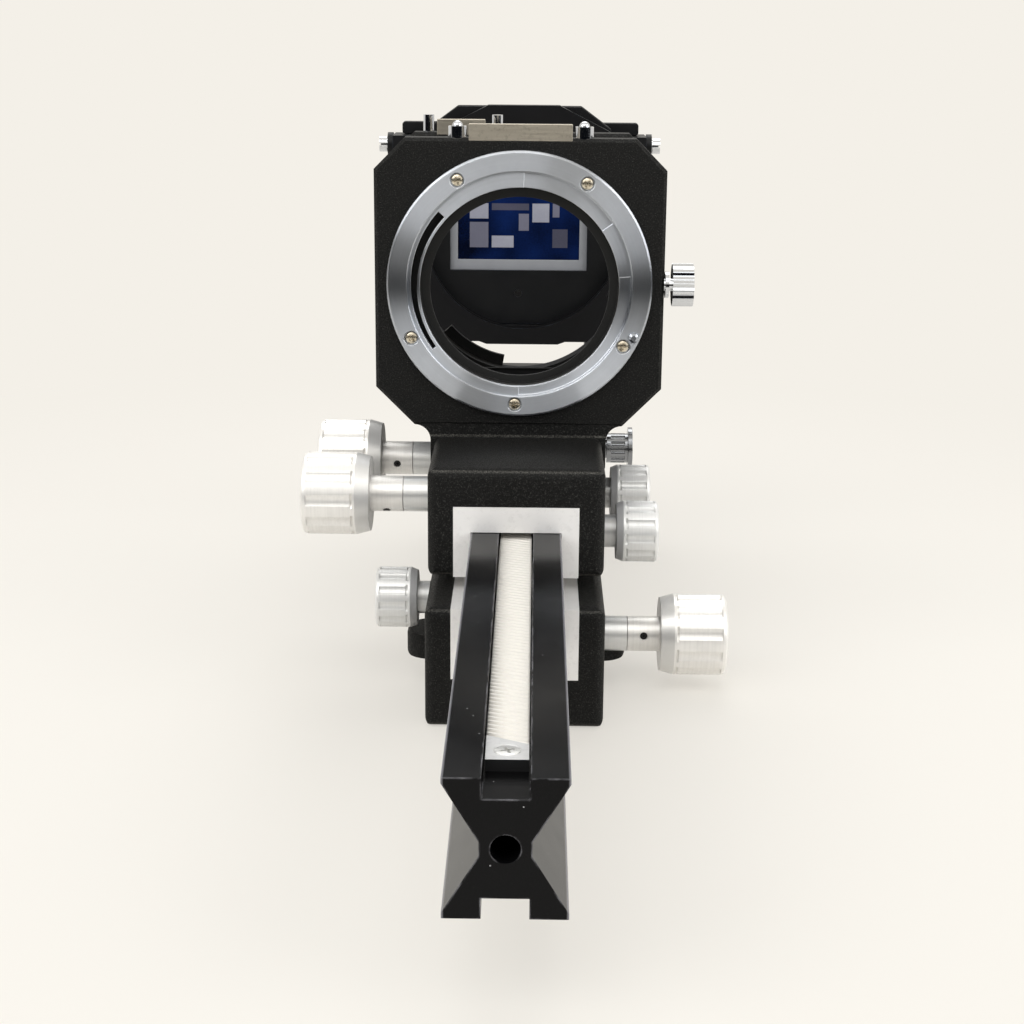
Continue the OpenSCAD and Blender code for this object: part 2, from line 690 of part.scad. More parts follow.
// Bent catch strip on the top edge of a plate whose top is at z
module catch_plate(x0, x1, y, z) {
    color([0.74, 0.71, 0.64]) union() {
        box(x0, x1, y, y + catch_t, z - catch_seat, z + catch_rise);
        box(x0, x1, y, y + catch_foot, z - catch_seat, z - catch_seat + catch_foot_t);
    }
}
module catch_seat_cut(x0, x1, y, z) {
    box(x0 - seat_gap, x1 + seat_gap, y - cut, y + catch_foot + seat_gap, z - catch_seat, z + cut);
}
module bellows_frame(y0, y1) {
    opening = fold_out - fold_d - cloth_t;
    color([0.12, 0.12, 0.12]) difference() {
        facing_front(y1) linear_extrude(height = y1 - y0)
            polygon([for (p = cloth_ring(fold_out, 0)) [p[0], p[2]]]);
        box(-opening, opening, y0 - cut, y1 + cut, light_z - opening, light_z + opening);
    }
}
// One ring of cloth: a square with cut corners
function cloth_ring(half, y) = let(c = fold_d)
    [for (p = [[1, -1, 0, 1], [1, 1, 0, -1], [1, 1, -1, 0], [-1, 1, 1, 0],
               [-1, 1, 0, -1], [-1, -1, 0, 1], [-1, -1, 1, 0], [1, -1, -1, 0]])
        [p[0] * half + p[2] * c, y, light_z + p[1] * half + p[3] * c]];
// Folded cloth between two planes: an outer and an inner skin, closed at both ends
module folded_cloth(y0, y1) {
    rows = 2 * folds;
    half = [for (i = [0:rows]) i % 2 == 0 ? fold_out - fold_d : fold_out];
    outer = [for (i = [0:rows]) cloth_ring(half[i], y0 + (y1 - y0) * i / rows)];
    inner = [for (i = [0:rows]) cloth_ring(half[i] - cloth_t, y0 + (y1 - y0) * i / rows)];
    points = [for (ring = concat(outer, inner)) for (p = ring) p];
    shift = 8 * (rows + 1);
    skin = [for (i = [0:rows - 1], k = [0:7]) let(a = 8 * i + k, b = 8 * i + (k + 1) % 8)
        for (f = [[a, b, b + 8], [a, b + 8, a + 8]]) f];
    lining = [for (f = skin) [f[2] + shift, f[1] + shift, f[0] + shift]];
    ends = [for (i = [0, rows], k = [0:7])
        let(a = 8 * i + k, b = 8 * i + (k + 1) % 8, c = a + shift, d = b + shift)
        for (f = i == 0 ? [[b, a, c], [b, c, d]] : [[a, b, d], [a, d, c]]) f];
    color([0.07, 0.07, 0.08]) polyhedron(points, concat(skin, lining, ends));
}

// Tripod block and what it carries
lug_round_share = 0.45;        // rounding of a side lug's outline as a share of its length
module tripod_block() {
    color([0.09, 0.09, 0.09]) difference() {
        union() {
            cast_block(block_w, -tripod_fore, tripod_aft, 0, 2 * mid_z - block_low, block_round);
            intersection() {
                translate([0, -lug_ahead, 0]) linear_extrude(height = 2 * lug_lift + lug_h)
                    rounded_rect(lug_w, lug_l, lug_l * lug_round_share);
                translate([0, 0, lug_lift + lug_h / 2]) along_rail(-lug_ahead - lug_l, lug_l - lug_ahead)
                    rounded_rect(lug_w, lug_h, block_round / 2);
            }
        }
        turned_under() block_cuts(-tripod_fore, tripod_aft, drive_y);
        along_z(-cut, thread_l + seat_gap, bush_r + seat_gap, 0, 0);
    }
}
module tripod_liner() color([0.85, 0.85, 0.84]) turned_under() liner(-tripod_fore, tripod_aft, drive_y);
module tripod_gib() color([0.75, 0.7, 0.5]) turned_under() gib(-tripod_fore, tripod_aft);
module tripod_bush() {
    color([0.7, 0.7, 0.72]) difference() {
        along_z(0, thread_l, bush_r, 0, 0);
        along_z(-cut, thread_l + cut, thread_r, 0, 0);
    }
}
module drive_sleeve() color([0.62, 0.62, 0.63]) turned_under() bearing_sleeve(drive_y);
module drive_shaft() color([0.7, 0.7, 0.72]) turned_under() pinion_shaft(drive_y);
module drive_pinion() color([0.7, 0.65, 0.45]) turned_under() pinion(drive_y);
module drive_knob() color([0.86, 0.86, 0.86]) turned_under() focus_knob(drive_y, drive_turn);
module drive_set_screw() color([0.2, 0.2, 0.2]) turned_under() set_screw(drive_y, drive_turn);
module tripod_lock_knob() color([0.8, 0.8, 0.8]) turned_under() lock_knob(drive_y);

// Rail, its racks and their fixings
module rail() {
    color([0.07, 0.07, 0.075]) difference() {
        along_rail(rail_y0, rail_y1) polygon(rail_section(0));
        for (z = [rail_top, rail_lift])
            box(-channel_w / 2, channel_w / 2, rail_y0 - cut, rail_y1 + cut, z - channel_d, z + channel_d);
        along_y(rail_y0 - cut, rail_y0 + end_hole_l, end_hole_r, 0, mid_z);
        along_y(rail_y1 - end_hole_l, rail_y1 + cut, end_hole_r, 0, mid_z);
        rack_screw_holes();
        turned_under() rack_screw_holes();
    }
}
rack_screw_shift = 0.15;
rack_screw_y = end_plate_l / 2 - rack_screw_shift;
rack_screw_head_r = 2.4;
rack_screw_r = 1.2;
rack_screw_l = 5.2;
rack_screw_places = [rack_y0 + rack_screw_y, rack_y1 - rack_screw_y];
module rack_screw_holes() {
    for (y = rack_screw_places)
        along_z(rack_face - rack_screw_l - seat_gap, rack_face, rack_screw_r + seat_gap, 0, y);
}
module end_plate_pair() {
    difference() {
        union() {
            rack_strip(rack_y0, teeth_y0 - seat_gap, 0, skew);
            rack_strip(teeth_y1 + seat_gap, rack_y1, skew, 0);
        }
        rack_screw_holes();
        for (y = rack_screw_places) translate([0, y, rack_face - rack_screw_head_r + rack_screw_r])
            cylinder(h = rack_screw_head_r, r1 = rack_screw_r + seat_gap,
                r2 = 2 * rack_screw_head_r - rack_screw_r + seat_gap);
    }
}
module rack_screw_pair() {
    for (y = rack_screw_places) difference() {
        union() {
            along_z(rack_face - rack_screw_l, rack_face, rack_screw_r, 0, y);
            translate([0, y, rack_face - rack_screw_head_r + rack_screw_r])
                cylinder(h = rack_screw_head_r - rack_screw_r, r1 = rack_screw_r, r2 = rack_screw_head_r);
        }
        for (q = [45, 135]) translate([0, y, rack_face - rack_screw_head_r / 4]) rotate([0, 0, q])
            translate([-rack_screw_head_r * 0.6, -rack_screw_head_r / 10, 0])
                cube([rack_screw_head_r * 1.2, rack_screw_head_r / 5, rack_screw_head_r]);
    }
}
module top_rack() color([0.9, 0.9, 0.88]) rack();
module bottom_rack() color([0.9, 0.9, 0.88]) turned_under() rack();
module rack_end_plates() {
    color([0.85, 0.85, 0.84]) end_plate_pair();
    color([0.85, 0.85, 0.84]) turned_under() end_plate_pair();
}
module rack_screws() {
    color([0.8, 0.8, 0.8]) rack_screw_pair();
    color([0.8, 0.8, 0.8]) turned_under() rack_screw_pair();
}

// Front standard
module front_standard() {
    color([0.09, 0.09, 0.09]) difference() {
        standard_casting(0, axis_z);
        facing_front(0) at_ring(axis_z) ring_screw_holes();
        facing_front(0) at_ring(axis_z) lock_pin_place() translate([0, 0, -lock_pin_l - seat_gap])
            cylinder(h = lock_pin_l + cut, r = lock_pin_r + seat_gap);
        catch_seat_cut(front_catch_x[0], front_catch_x[1], 0, plate_top);
        for (x = front_plunger_x)
            along_z(plate_top - plunger_sink, plate_top + cut, plunger_r + seat_gap, x, plate_t / 2);
        along_x(plate_w / 2 - ring_lock_thread_l - seat_gap, plate_w,
            ring_lock_neck_r + run_gap, plate_t / 2, axis_z);
    }
}
module front_liner() color([0.86, 0.86, 0.85]) liner(-block_l, neck_t, drive_y);
module front_gib() color([0.75, 0.7, 0.5]) gib(-block_l, neck_t);
module front_sleeve() color([0.62, 0.62, 0.63]) bearing_sleeve(drive_y);
lock_pin_inset = 1.6;
lock_pin_pcd_r = ring_r - lock_pin_inset;
module lock_pin_place() {
    translate([lock_pin_pcd_r * cos(lock_pin_angle), lock_pin_pcd_r * sin(lock_pin_angle), 0]) children();
}
module mount_ring() {
    color([0.82, 0.83, 0.86]) facing_front(0) at_ring(axis_z) bayonet_ring(throat_drop) {
        translate([0, -throat_drop, -lug_t]) cylinder(h = 3 * lug_t, r = throat_r);
        for (a = lug_shelves) lug_sector(a[0], a[1], ring_rise - ring_step - shelf_d, spigot_r);
        difference() {
            lug_sector(lug_slit[0], lug_slit[1], -lug_t, spigot_r - slit_rim);
            translate([0, -throat_drop, -2 * lug_t]) cylinder(h = 6 * lug_t, r = throat_r + slit_rim);
        }
        lock_pin_place() cylinder(h = 2 * ring_rise + 2 * cut, r = lock_pin_r + seat_gap, center = true);
    }
}
// Pin that holds a lens's ring from turning
module lens_lock_pin() {
    straight = lock_pin_l + ring_rise + lock_pin_rise - lock_pin_r / 2;
    color([0.8, 0.81, 0.84]) facing_front(0) at_ring(axis_z) lock_pin_place() translate([0, 0, -lock_pin_l]) {
        cylinder(h = straight, r = lock_pin_r);
        translate([0, 0, straight]) cylinder(h = lock_pin_r / 2, r1 = lock_pin_r, r2 = lock_pin_r / 2);
    }
}
module ring_screws() facing_front(0) at_ring(axis_z) ring_screw_set();
// Light baffle: a tube behind the bayonet lugs, on a ring whose opening lies a little low
module throat_baffle() {
    wall = 0.7;
    ring_t = 1;
    lip = 2.2;
    front = ring_rise - ring_step - lug_t - pass_gap;
    color([0.06, 0.06, 0.06]) facing_front(0) at_ring(axis_z) difference() {
        union() {
            translate([0, 0, -plate_t]) cylinder(h = ring_t, r = spigot_r - seat_gap);
            translate([0, -throat_drop, -plate_t]) cylinder(h = plate_t + front, r = throat_r + wall);
        }
        translate([0, -throat_drop, ring_t - plate_t]) cylinder(h = plate_t + ring_rise, r = throat_r);
        translate([0, -light_drop, -plate_t - cut]) cylinder(h = ring_t + 2 * cut, r = throat_r - lip);
    }
}
module front_catch() catch_plate(front_catch_x[0], front_catch_x[1], 0, plate_top);
// Two spring plungers: an open sleeve with a ball-ended pin
module front_plungers() {
    color([0.8, 0.8, 0.82]) for (x = front_plunger_x) translate([x, plate_t / 2, plate_top]) union() {
        difference() {
            translate([0, 0, -plunger_sink]) cylinder(h = plunger_sink + plunger_h, r = plunger_r);
            cylinder(h = plunger_h + cut, r = plunger_r - plunger_wall);
        }
        cylinder(h = plunger_h, r = plunger_ball_r);
        translate([0, 0, plunger_h]) sphere(plunger_ball_r);
    }
}
module front_bellows_frame() bellows_frame(plate_t, bellows_y0);
module front_bellows() folded_cloth(bellows_y0, bellows_mid - pass_gap / 2);
module front_shaft() color([0.7, 0.7, 0.72]) pinion_shaft(drive_y);
module front_pinion() color([0.7, 0.65, 0.45]) pinion(drive_y);
module front_knob() color([0.88, 0.88, 0.88]) focus_knob(drive_y, front_turn);
module front_set_screw() color([0.2, 0.2, 0.2]) set_screw(drive_y, front_turn);
module front_lock_knob() color([0.8, 0.8, 0.8]) lock_knob(drive_y);
// Knurled screw that frees the mount ring
module ring_lock_screw() {
    face = plate_w / 2 + pass_gap;
    collar_r = ring_lock_r * 0.62;
    color([0.85, 0.85, 0.87]) union() {
        along_x(plate_w / 2 - ring_lock_thread_l, face + ring_lock_neck_l,
            ring_lock_neck_r, plate_t / 2, axis_z);
        along_x(face, face + ring_lock_neck_l / 2, collar_r, plate_t / 2, axis_z);
        translate([face + ring_lock_neck_l - seat_gap, plate_t / 2, axis_z]) rotate([0, 90, 0])
            linear_extrude(height = ring_lock_l)
                polygon([for (i = [0:2 * ring_lock_knurls - 1])
                    let(r = ring_lock_r - (i % 2) * knurl_d, a = 180 * i / ring_lock_knurls)
                    [r * cos(a), r * sin(a)]]);
    }
}

// Rear standard
module rear_standard() {
    color([0.09, 0.09, 0.09]) difference() {
        standard_casting(standard_gap, light_z);
        facing_back(standard_gap + plate_t) at_ring(light_z) ring_screw_holes();
        catch_seat_cut(rear_catch_x[0], rear_catch_x[1], standard_gap, rear_top);
        for (x = rear_pin_x)
            along_z(rear_top - rear_pin_sink, rear_top + cut, rear_pin_r + seat_gap, x, rear_pin_y);
    }
}
module rear_liner() {
    color([0.86, 0.86, 0.85]) liner(standard_gap - block_l, standard_gap + neck_t, standard_gap + drive_y);
}
module rear_gib() color([0.75, 0.7, 0.5]) gib(standard_gap - block_l, standard_gap + neck_t);
module rear_sleeve() color([0.62, 0.62, 0.63]) bearing_sleeve(standard_gap + drive_y);
module rear_ring() {
    color([0.1, 0.1, 0.1]) facing_back(standard_gap + plate_t) at_ring(light_z) bayonet_ring(0)
        for (a = rear_lug_gaps) lug_sector(a[0], a[1], -lug_t, spigot_r);
}
module rear_ring_screws() facing_back(standard_gap + plate_t) at_ring(light_z) ring_screw_set();
module rear_catch() catch_plate(rear_catch_x[0], rear_catch_x[1], standard_gap, rear_top);
module rear_pins() {
    color([0.8, 0.8, 0.82]) for (x = rear_pin_x)
        along_z(rear_top - rear_pin_sink, rear_top + rear_pin_h, rear_pin_r, x, rear_pin_y);
}
module rear_bellows_frame() bellows_frame(bellows_y1, standard_gap);
module rear_bellows() folded_cloth(bellows_mid + pass_gap / 2, bellows_y1);
module rear_shaft() color([0.7, 0.7, 0.72]) pinion_shaft(standard_gap + drive_y);
module rear_pinion() color([0.7, 0.65, 0.45]) pinion(standard_gap + drive_y);
module rear_knob() color([0.88, 0.88, 0.88]) focus_knob(standard_gap + drive_y, rear_turn);
module rear_set_screw() color([0.2, 0.2, 0.2]) set_screw(standard_gap + drive_y, rear_turn);
module rear_lock_knob() color([0.8, 0.8, 0.8]) lock_knob(standard_gap + drive_y);

// Copying head
head_drop = 33.7;              // lowest edge of the front plate below the light axis
head_low = axis_z - head_drop;
head_tab = [10.6, 12.8];       // half widths of the low middle of that edge
head_tab_h = 0.8;
head_cut = 9;                  // corner cut at the bottom
head_shoulder = 22;            // heights above the light axis, and half widths, up to the crown
head_knee = [24.5, 28.8];
head_crown = [10.3, 35.9];
cheek_in = 1.5;
head_cheek_x = head_foot_w / 2 - cheek_in + cheek_t;
head_half = head_plate_w / 2;
head_side = [
    [head_tab[0], head_low], [head_tab[1], head_low + head_tab_h],
    [head_half - head_cut, head_low + head_tab_h], [head_half, head_low + head_tab_h + head_cut],
    [head_half, axis_z + head_shoulder],
    [head_knee[0], axis_z + head_knee[1]], [head_crown[0], axis_z + head_crown[1]]];
head_outline = concat(head_side, [for (i = [len(head_side) - 1:-1:0]) [-head_side[i][0], head_side[i][1]]]);
module copier_frame() {
    z0 = rail_top - head_foot_drop;
    z1 = rail_top + head_foot_rise;
    cheek_top = keeper_low - seat_gap;
    color([0.08, 0.08, 0.085]) difference() {
        union() {
            cast_block(head_foot_w, head_y0, head_y1, z0, z1, block_round);
            for (x = [-head_cheek_x, head_cheek_x - cheek_t])
                box(x, x + cheek_t, head_y0, head_y0 + cheek_l, z0 + block_round, cheek_top);
            along_rail(head_y0, head_back) polygon(head_outline);
        }
        along_rail(head_y0 - cut, head_y1 + cut) polygon(rail_section(slide_gap));
        along_y(head_y0 - cut, head_back + cut, head_opening_r, 0, axis_z);
        along_x(0, head_cheek_x + cut, lock_screw_r + run_gap, clamp_y, clamp_z);
    }
}
module copier_clamp_screw() {
    face = head_cheek_x + pass_gap;
    neck_l = 2;
    barrel_l = 6.4;
    rim_l = 1.3;
    groove_l_shares = [0.2, 0.85];
    groove_r_share = 0.16;
    color([0.84, 0.85, 0.87]) union() {
        along_x(flank_x(2 * mid_z - clamp_z + lock_screw_r) + slide_gap + pass_gap, face + neck_l,
            lock_screw_r, clamp_y, clamp_z);
        along_x(face, face + neck_l, clamp_r * 0.7, clamp_y, clamp_z);
        difference() {
            along_x(face + neck_l - seat_gap, face + neck_l + barrel_l, clamp_r, clamp_y, clamp_z);
            for (i = [0:11]) translate([0, clamp_y, clamp_z]) rotate([30 * i, 0, 0])
                along_x(face + neck_l + barrel_l * groove_l_shares[0],
                    face + neck_l + barrel_l * groove_l_shares[1], clamp_r * groove_r_share, 0, clamp_r);
        }
        along_x(face + neck_l + barrel_l, face + neck_l + barrel_l + rim_l, clamp_rim_r, clamp_y, clamp_z);
    }
}
// L-strip behind the front plate that the stage's tongue slides in
module stage_keeper() {
    half = head_half - keeper_margin;
    lip_y = stage_y0 + tongue_t + pass_gap;
    color([0.1, 0.1, 0.1]) union() {
        box(-half, half, head_back, lip_y + keeper_t, keeper_low, keeper_low + keeper_t);
        box(-half, half, lip_y, lip_y + keeper_t, keeper_low, stage_z0 + keeper_lip);
    }
}
slide_low = slide_z - slide_side / 2;
module on_stage() translate([stage_shift, 0, 0]) children();
module slide_stage() {
    half = stage_w / 2;
    window = [film_w + stage_window_room[0], film_h + stage_window_room[1]];
    color([0.07, 0.07, 0.07]) on_stage() difference() {
        union() {
            box(-half, half, stage_y0, stage_y1, stage_z0 + tongue_h, stage_z1);
            box(-half, half, stage_y0, stage_y0 + tongue_t, stage_z0, stage_z0 + tongue_h + cut);
        }
        box(-slide_side / 2 - pass_gap, slide_side / 2 + pass_gap, slot_y0, slot_y0 + slot_t,
            slide_low - pass_gap, stage_z1 + cut);
        box(-window[0] / 2, window[0] / 2, stage_y0 - cut, stage_y1 + cut,
            slide_z - window[1] / 2, slide_z + window[1] / 2);
        box(-half + stage_wall, half - stage_wall, slot_y0 + slot_t + stage_wall, stage_y1 + cut,
            stage_z0 + tongue_h + stage_wall, stage_z1 - stage_wall);
        for (s = [-1, 1]) translate([s * half, pivot_y, pivot_z]) rotate([0, 90, 0])
            cylinder(h = 2 * (door_screw_in + 2 * seat_gap), r = door_screw_r + seat_gap, center = true);
        along_y(stage_y0 - cut, stage_y0 + stage_screw_l, stage_screw_r + seat_gap, 0, stage_screw_z);
    }
}
module stage_screw() {
    color([0.5, 0.5, 0.5]) on_stage() difference() {
        along_y(stage_y0 + stage_screw_sink, stage_y0 + stage_screw_l, stage_screw_r, 0, stage_screw_z);
        translate([0, stage_y0 + stage_screw_sink, stage_screw_z]) cube(stage_screw_slot, center = true);
    }
}
// Two cheeks above the stage that lead a slide into its slot
guide_wall = 1.7;
guide_crown_w = 36;
guide_step = 2.2;
guide_t = 1.6;
guide_front_t = 1;
module slide_guide() {
    w0 = slide_side + 2 * guide_wall;
    y1 = slot_y0 + slot_t + guide_t;
    color([0.08, 0.08, 0.09]) on_stage() difference() {
        along_rail(slot_y0 - guide_front_t, y1) polygon([
            [-w0 / 2, stage_z1], [w0 / 2, stage_z1], [w0 / 2, stage_z1 + guide_step],
            [guide_crown_w / 2, stage_z1 + guide_rise], [-guide_crown_w / 2, stage_z1 + guide_rise],
            [-w0 / 2, stage_z1 + guide_step]]);
        box(-slide_side / 2 - pass_gap, slide_side / 2 + pass_gap, slot_y0, slot_y0 + slot_t,
            stage_z1 - cut, stage_z1 + guide_rise + cut);
    }
}
bar_w = 69.4;
bar_h = 3.6;
bar_t = 3.4;
bar_round = 0.9;
bar_place = [0.2, 1.9];        // sideways, and up to its middle from the stage's top
module guide_bar() {
    y0 = slot_y0 + slot_t + guide_t;
    color([0.09, 0.09, 0.1]) on_stage() translate([bar_place[0], 0, stage_z1 + bar_place[1]])
        along_rail(y0, y0 + bar_t) rounded_rect(bar_w, bar_h, bar_round);
}
groove_shares = [0.4, 0.6];    // where the groove for the film lies in the mount's thickness
film_shares = [0.42, 0.52];
groove_depth = 0.7;
film_margin = 0.6;
module slide_mount() {
    room = groove_depth;
    color([0.62, 0.62, 0.61]) on_stage() translate([0, slide_y, slide_z]) difference() {
        box(-slide_side / 2, slide_side / 2, 0, slide_t, -slide_side / 2, slide_side / 2);
        box(-film_w / 2, film_w / 2, -cut, slide_t + cut, -film_h / 2, film_h / 2);
        box(-film_w / 2 - room, film_w / 2 + room, slide_t * groove_shares[0], slide_t * groove_shares[1],
            -film_h / 2 - room, film_h / 2 + room);
    }
}
module film() {
    room = film_margin;
    color([0.1, 0.14, 0.4]) on_stage() translate([0, slide_y, slide_z])
        box(-film_w / 2 - room, film_w / 2 + room, slide_t * film_shares[0], slide_t * film_shares[1],
            -film_h / 2 - room, film_h / 2 + room);
}
// Diffuser frame: a back plate with two ears that hang on the side screws
door_rise = 3;                 // lower edge above the stage's lower edge
door_drop = 1.2;               // upper edge below the pivot
pane_lip = 2;
pane_share = 0.7;              // share of the frame's thickness that the opal sheet fills
module diffuser_frame() {
    half = stage_w / 2 + pass_gap;
    low = stage_z0 + door_rise;
    high = pivot_z - door_drop;
    y1 = door_y0 + door_t;
    color([0.08, 0.08, 0.09]) on_stage() difference() {
        union() {
            box(-half - ear_t, half + ear_t, door_y0, y1, low, high);
            for (x = [-half - ear_t, half]) {
                along_x(x, x + ear_t, ear_r, pivot_y, pivot_z);
                across(x, x + ear_t) polygon([
                    [pivot_y, pivot_z - ear_r], [pivot_y, pivot_z], [pivot_y + ear_r, pivot_z],
                    [y1, high], [y1, low], [door_y0, low]]);
            }
        }
        box(-pane[0] / 2, pane[0] / 2, door_y0 - cut, door_y0 + door_t * pane_share,
            slide_z - pane[1] / 2, slide_z + pane[1] / 2);
        box(-pane[0] / 2 + pane_lip, pane[0] / 2 - pane_lip, door_y0, y1 + cut,
            slide_z - pane[1] / 2 + pane_lip, slide_z + pane[1] / 2 - pane_lip);
        along_x(-half - ear_t - cut, half + ear_t + cut, door_screw_r + run_gap, pivot_y, pivot_z);
    }
}
module diffuser() {
    color([0.93, 0.93, 0.9]) on_stage()
        box(-pane[0] / 2 + seat_gap, pane[0] / 2 - seat_gap,
            door_y0 + seat_gap, door_y0 + door_t * pane_share,
            slide_z - pane[1] / 2 + seat_gap, slide_z + pane[1] / 2 - seat_gap);
}
module on_side(s) {
    if (s > 0) children();
    else mirror([1, 0, 0]) children();
}
door_head_r = 2.3;
door_head_l = 2.2;
door_slot = [0.6, 0.5];        // width and depth
module door_screws() {
    head_x = stage_w / 2 + 2 * pass_gap + ear_t;
    color([0.84, 0.84, 0.85]) on_stage() for (s = [-1, 1]) on_side(s) difference() {
        union() {
            along_x(stage_w / 2 - door_screw_in, head_x, door_screw_r, pivot_y, pivot_z);
            along_x(head_x, head_x + door_head_l, door_head_r, pivot_y, pivot_z);
        }
        translate([head_x + door_head_l, pivot_y, pivot_z])
            cube([2 * door_slot[1], 2 * door_head_r, door_slot[0]], center = true);
    }
}

tripod_block();
tripod_liner();
tripod_gib();
tripod_bush();
drive_sleeve();
drive_shaft();
drive_pinion();
drive_knob();
drive_set_screw();
tripod_lock_knob();
rail();
top_rack();
bottom_rack();
rack_end_plates();
rack_screws();
front_standard();
front_liner();
front_gib();
front_sleeve();
mount_ring();
ring_screws();
lens_lock_pin();
throat_baffle();
front_catch();
front_plungers();
front_bellows_frame();
front_bellows();
front_shaft();
front_pinion();
front_knob();
front_set_screw();
front_lock_knob();
ring_lock_screw();
rear_standard();
rear_liner();
rear_gib();
rear_sleeve();
rear_ring();
rear_ring_screws();
rear_catch();
rear_pins();
rear_bellows_frame();
rear_bellows();
rear_shaft();
rear_pinion();
rear_knob();
rear_set_screw();
rear_lock_knob();
copier_frame();
copier_clamp_screw();
stage_keeper();
slide_stage();
stage_screw();
slide_guide();
guide_bar();
slide_mount();
film();
diffuser_frame();
diffuser();
door_screws();
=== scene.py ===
# %% [markdown]
# # Dressing a slide copying stand
# The stand is a workshop tool of painted castings, anodised and turned aluminium, bright steel and
# a little chrome. Its pieces come ready made at their real size. This lesson gives each one the
# surface that it has on the bench, adds the folded cloth between the two standards and the picture
# in the slide, and then sets up the light and the camera.

# %% Load the measured pieces
import math

import bmesh
import bpy
from mathutils import Matrix, Vector


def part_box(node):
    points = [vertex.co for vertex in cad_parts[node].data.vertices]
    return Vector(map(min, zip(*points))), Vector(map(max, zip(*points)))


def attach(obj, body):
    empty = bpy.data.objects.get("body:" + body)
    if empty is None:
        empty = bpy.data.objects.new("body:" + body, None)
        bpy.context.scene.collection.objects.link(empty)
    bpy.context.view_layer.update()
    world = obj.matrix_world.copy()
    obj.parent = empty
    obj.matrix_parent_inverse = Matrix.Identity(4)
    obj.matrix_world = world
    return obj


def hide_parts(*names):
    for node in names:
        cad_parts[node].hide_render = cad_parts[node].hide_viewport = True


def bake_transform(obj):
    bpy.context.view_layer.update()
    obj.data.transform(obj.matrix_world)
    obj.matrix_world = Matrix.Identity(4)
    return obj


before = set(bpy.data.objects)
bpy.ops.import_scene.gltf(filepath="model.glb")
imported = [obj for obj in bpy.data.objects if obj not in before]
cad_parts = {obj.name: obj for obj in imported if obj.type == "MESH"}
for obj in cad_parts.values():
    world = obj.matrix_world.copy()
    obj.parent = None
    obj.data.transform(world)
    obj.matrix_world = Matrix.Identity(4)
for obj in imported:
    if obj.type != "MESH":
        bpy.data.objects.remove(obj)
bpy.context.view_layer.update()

MM = 0.001

# %% [markdown]
# ## The camera
# A photograph of a long thing, taken from its end, lives from its perspective: the near end of the
# rail is twice as wide as the far one. So the camera stands where the photographer's stood, about
# 44 cm in front of the bayonet ring and looking down by 15 degrees. The focal length then follows
# from how large the ring is in the picture.

# %% Put the camera in its place
CAMERA_PLACE = Vector((3.72, -439.2, 160.1)) * MM
CAMERA_HEADING = math.radians(0.659)
CAMERA_DROP = math.radians(15.48)
CAMERA_ROLL = math.radians(0.45)
CAMERA_LENS = 65.26       # millimetres, on a frame 36 mm wide
CAMERA_SENSOR = 36.0
RING_MIDDLE = 94.4        # height of the bayonet ring's axis in millimetres

camera_data = bpy.data.cameras.new("bench_camera")
camera_data.lens = CAMERA_LENS
camera_data.sensor_width = CAMERA_SENSOR
camera_data.clip_start = 10 * MM
camera = bpy.data.objects.new("bench_camera", camera_data)
bpy.context.scene.collection.objects.link(camera)
camera.matrix_world = (
    Matrix.Translation(CAMERA_PLACE)
    @ Matrix.Rotation(CAMERA_HEADING, 4, "Z")
    @ Matrix.Rotation(math.radians(90) - CAMERA_DROP, 4, "X")
    @ Matrix.Rotation(CAMERA_ROLL, 4, "Z")
)
bpy.context.scene.camera = camera
print("camera to ring in mm:", round((Vector((0, 0, RING_MIDDLE)) * MM - CAMERA_PLACE).length / MM))

# %% [markdown]
# ## Small helpers for materials
# Colours are given as sRGB hex values, as on a screen, but light adds up in linear numbers.
# One function turns the first into the second. Another adds a node with its settings and its links
# in one line, so that each material reads as a list of what happens to the surface. The Mix node has
# sockets for every kind of value, and its two colours are numbers 6 and 7.

# %% Colour and node helpers
def linear(hex_colour):
    """Linear RGBA of an sRGB hex colour."""
    channels = [int(hex_colour[i:i + 2], 16) / 255 for i in (1, 3, 5)]
    return [c / 12.92 if c <= 0.04045 else ((c + 0.055) / 1.055) ** 2.4 for c in channels] + [1.0]


def add_node(tree, kind, sockets=None, **settings):
    """Adds a node: settings are its properties, sockets are values or the outputs that feed it."""
    node = tree.nodes.new(kind)
    for name, value in settings.items():
        setattr(node, name, value)
    for socket, value in (sockets or {}).items():
        if isinstance(value, bpy.types.NodeSocket):
            tree.links.new(value, node.inputs[socket])
        else:
            node.inputs[socket].default_value = value
    return node


def start_material(name, **constants):
    """A material whose shader has these constants; an underscore stands for a space."""
    material = bpy.data.materials.new(name)
    material.use_nodes = True
    tree = material.node_tree
    shader = tree.nodes["Principled BSDF"]
    for socket, value in constants.items():
        shader.inputs[socket.replace("_", " ")].default_value = value
    return material, tree, shader


def per_mm(size):
    """Texture scale at which one feature is this many millimetres wide, in coordinates in metres."""
    return 1 / (size * MM)


def darker(hex_colour, share):
    """Linear RGBA of a colour with this share of its light."""
    return [c * share for c in linear(hex_colour)[:3]] + [1.0]


print("mid grey in linear light:", round(linear("#808080")[0], 3))

# %% [markdown]
# ## Worn edges and painted edge highlights
# Paint and dye thin out on edges, and hands polish them; an edge also catches a line of light. Both
# are painted as one lighter colour: partly wear, partly a painted highlight. The Bevel node gives a
# normal that is rounded near an edge. Where it differs from the true normal there is an edge, and the
# difference becomes a mask, broken up by noise so that the wear and the highlight are patchy.

# %% A mask for edges
BEVEL_RAYS = 6            # how many rays the Bevel node sends to round a normal


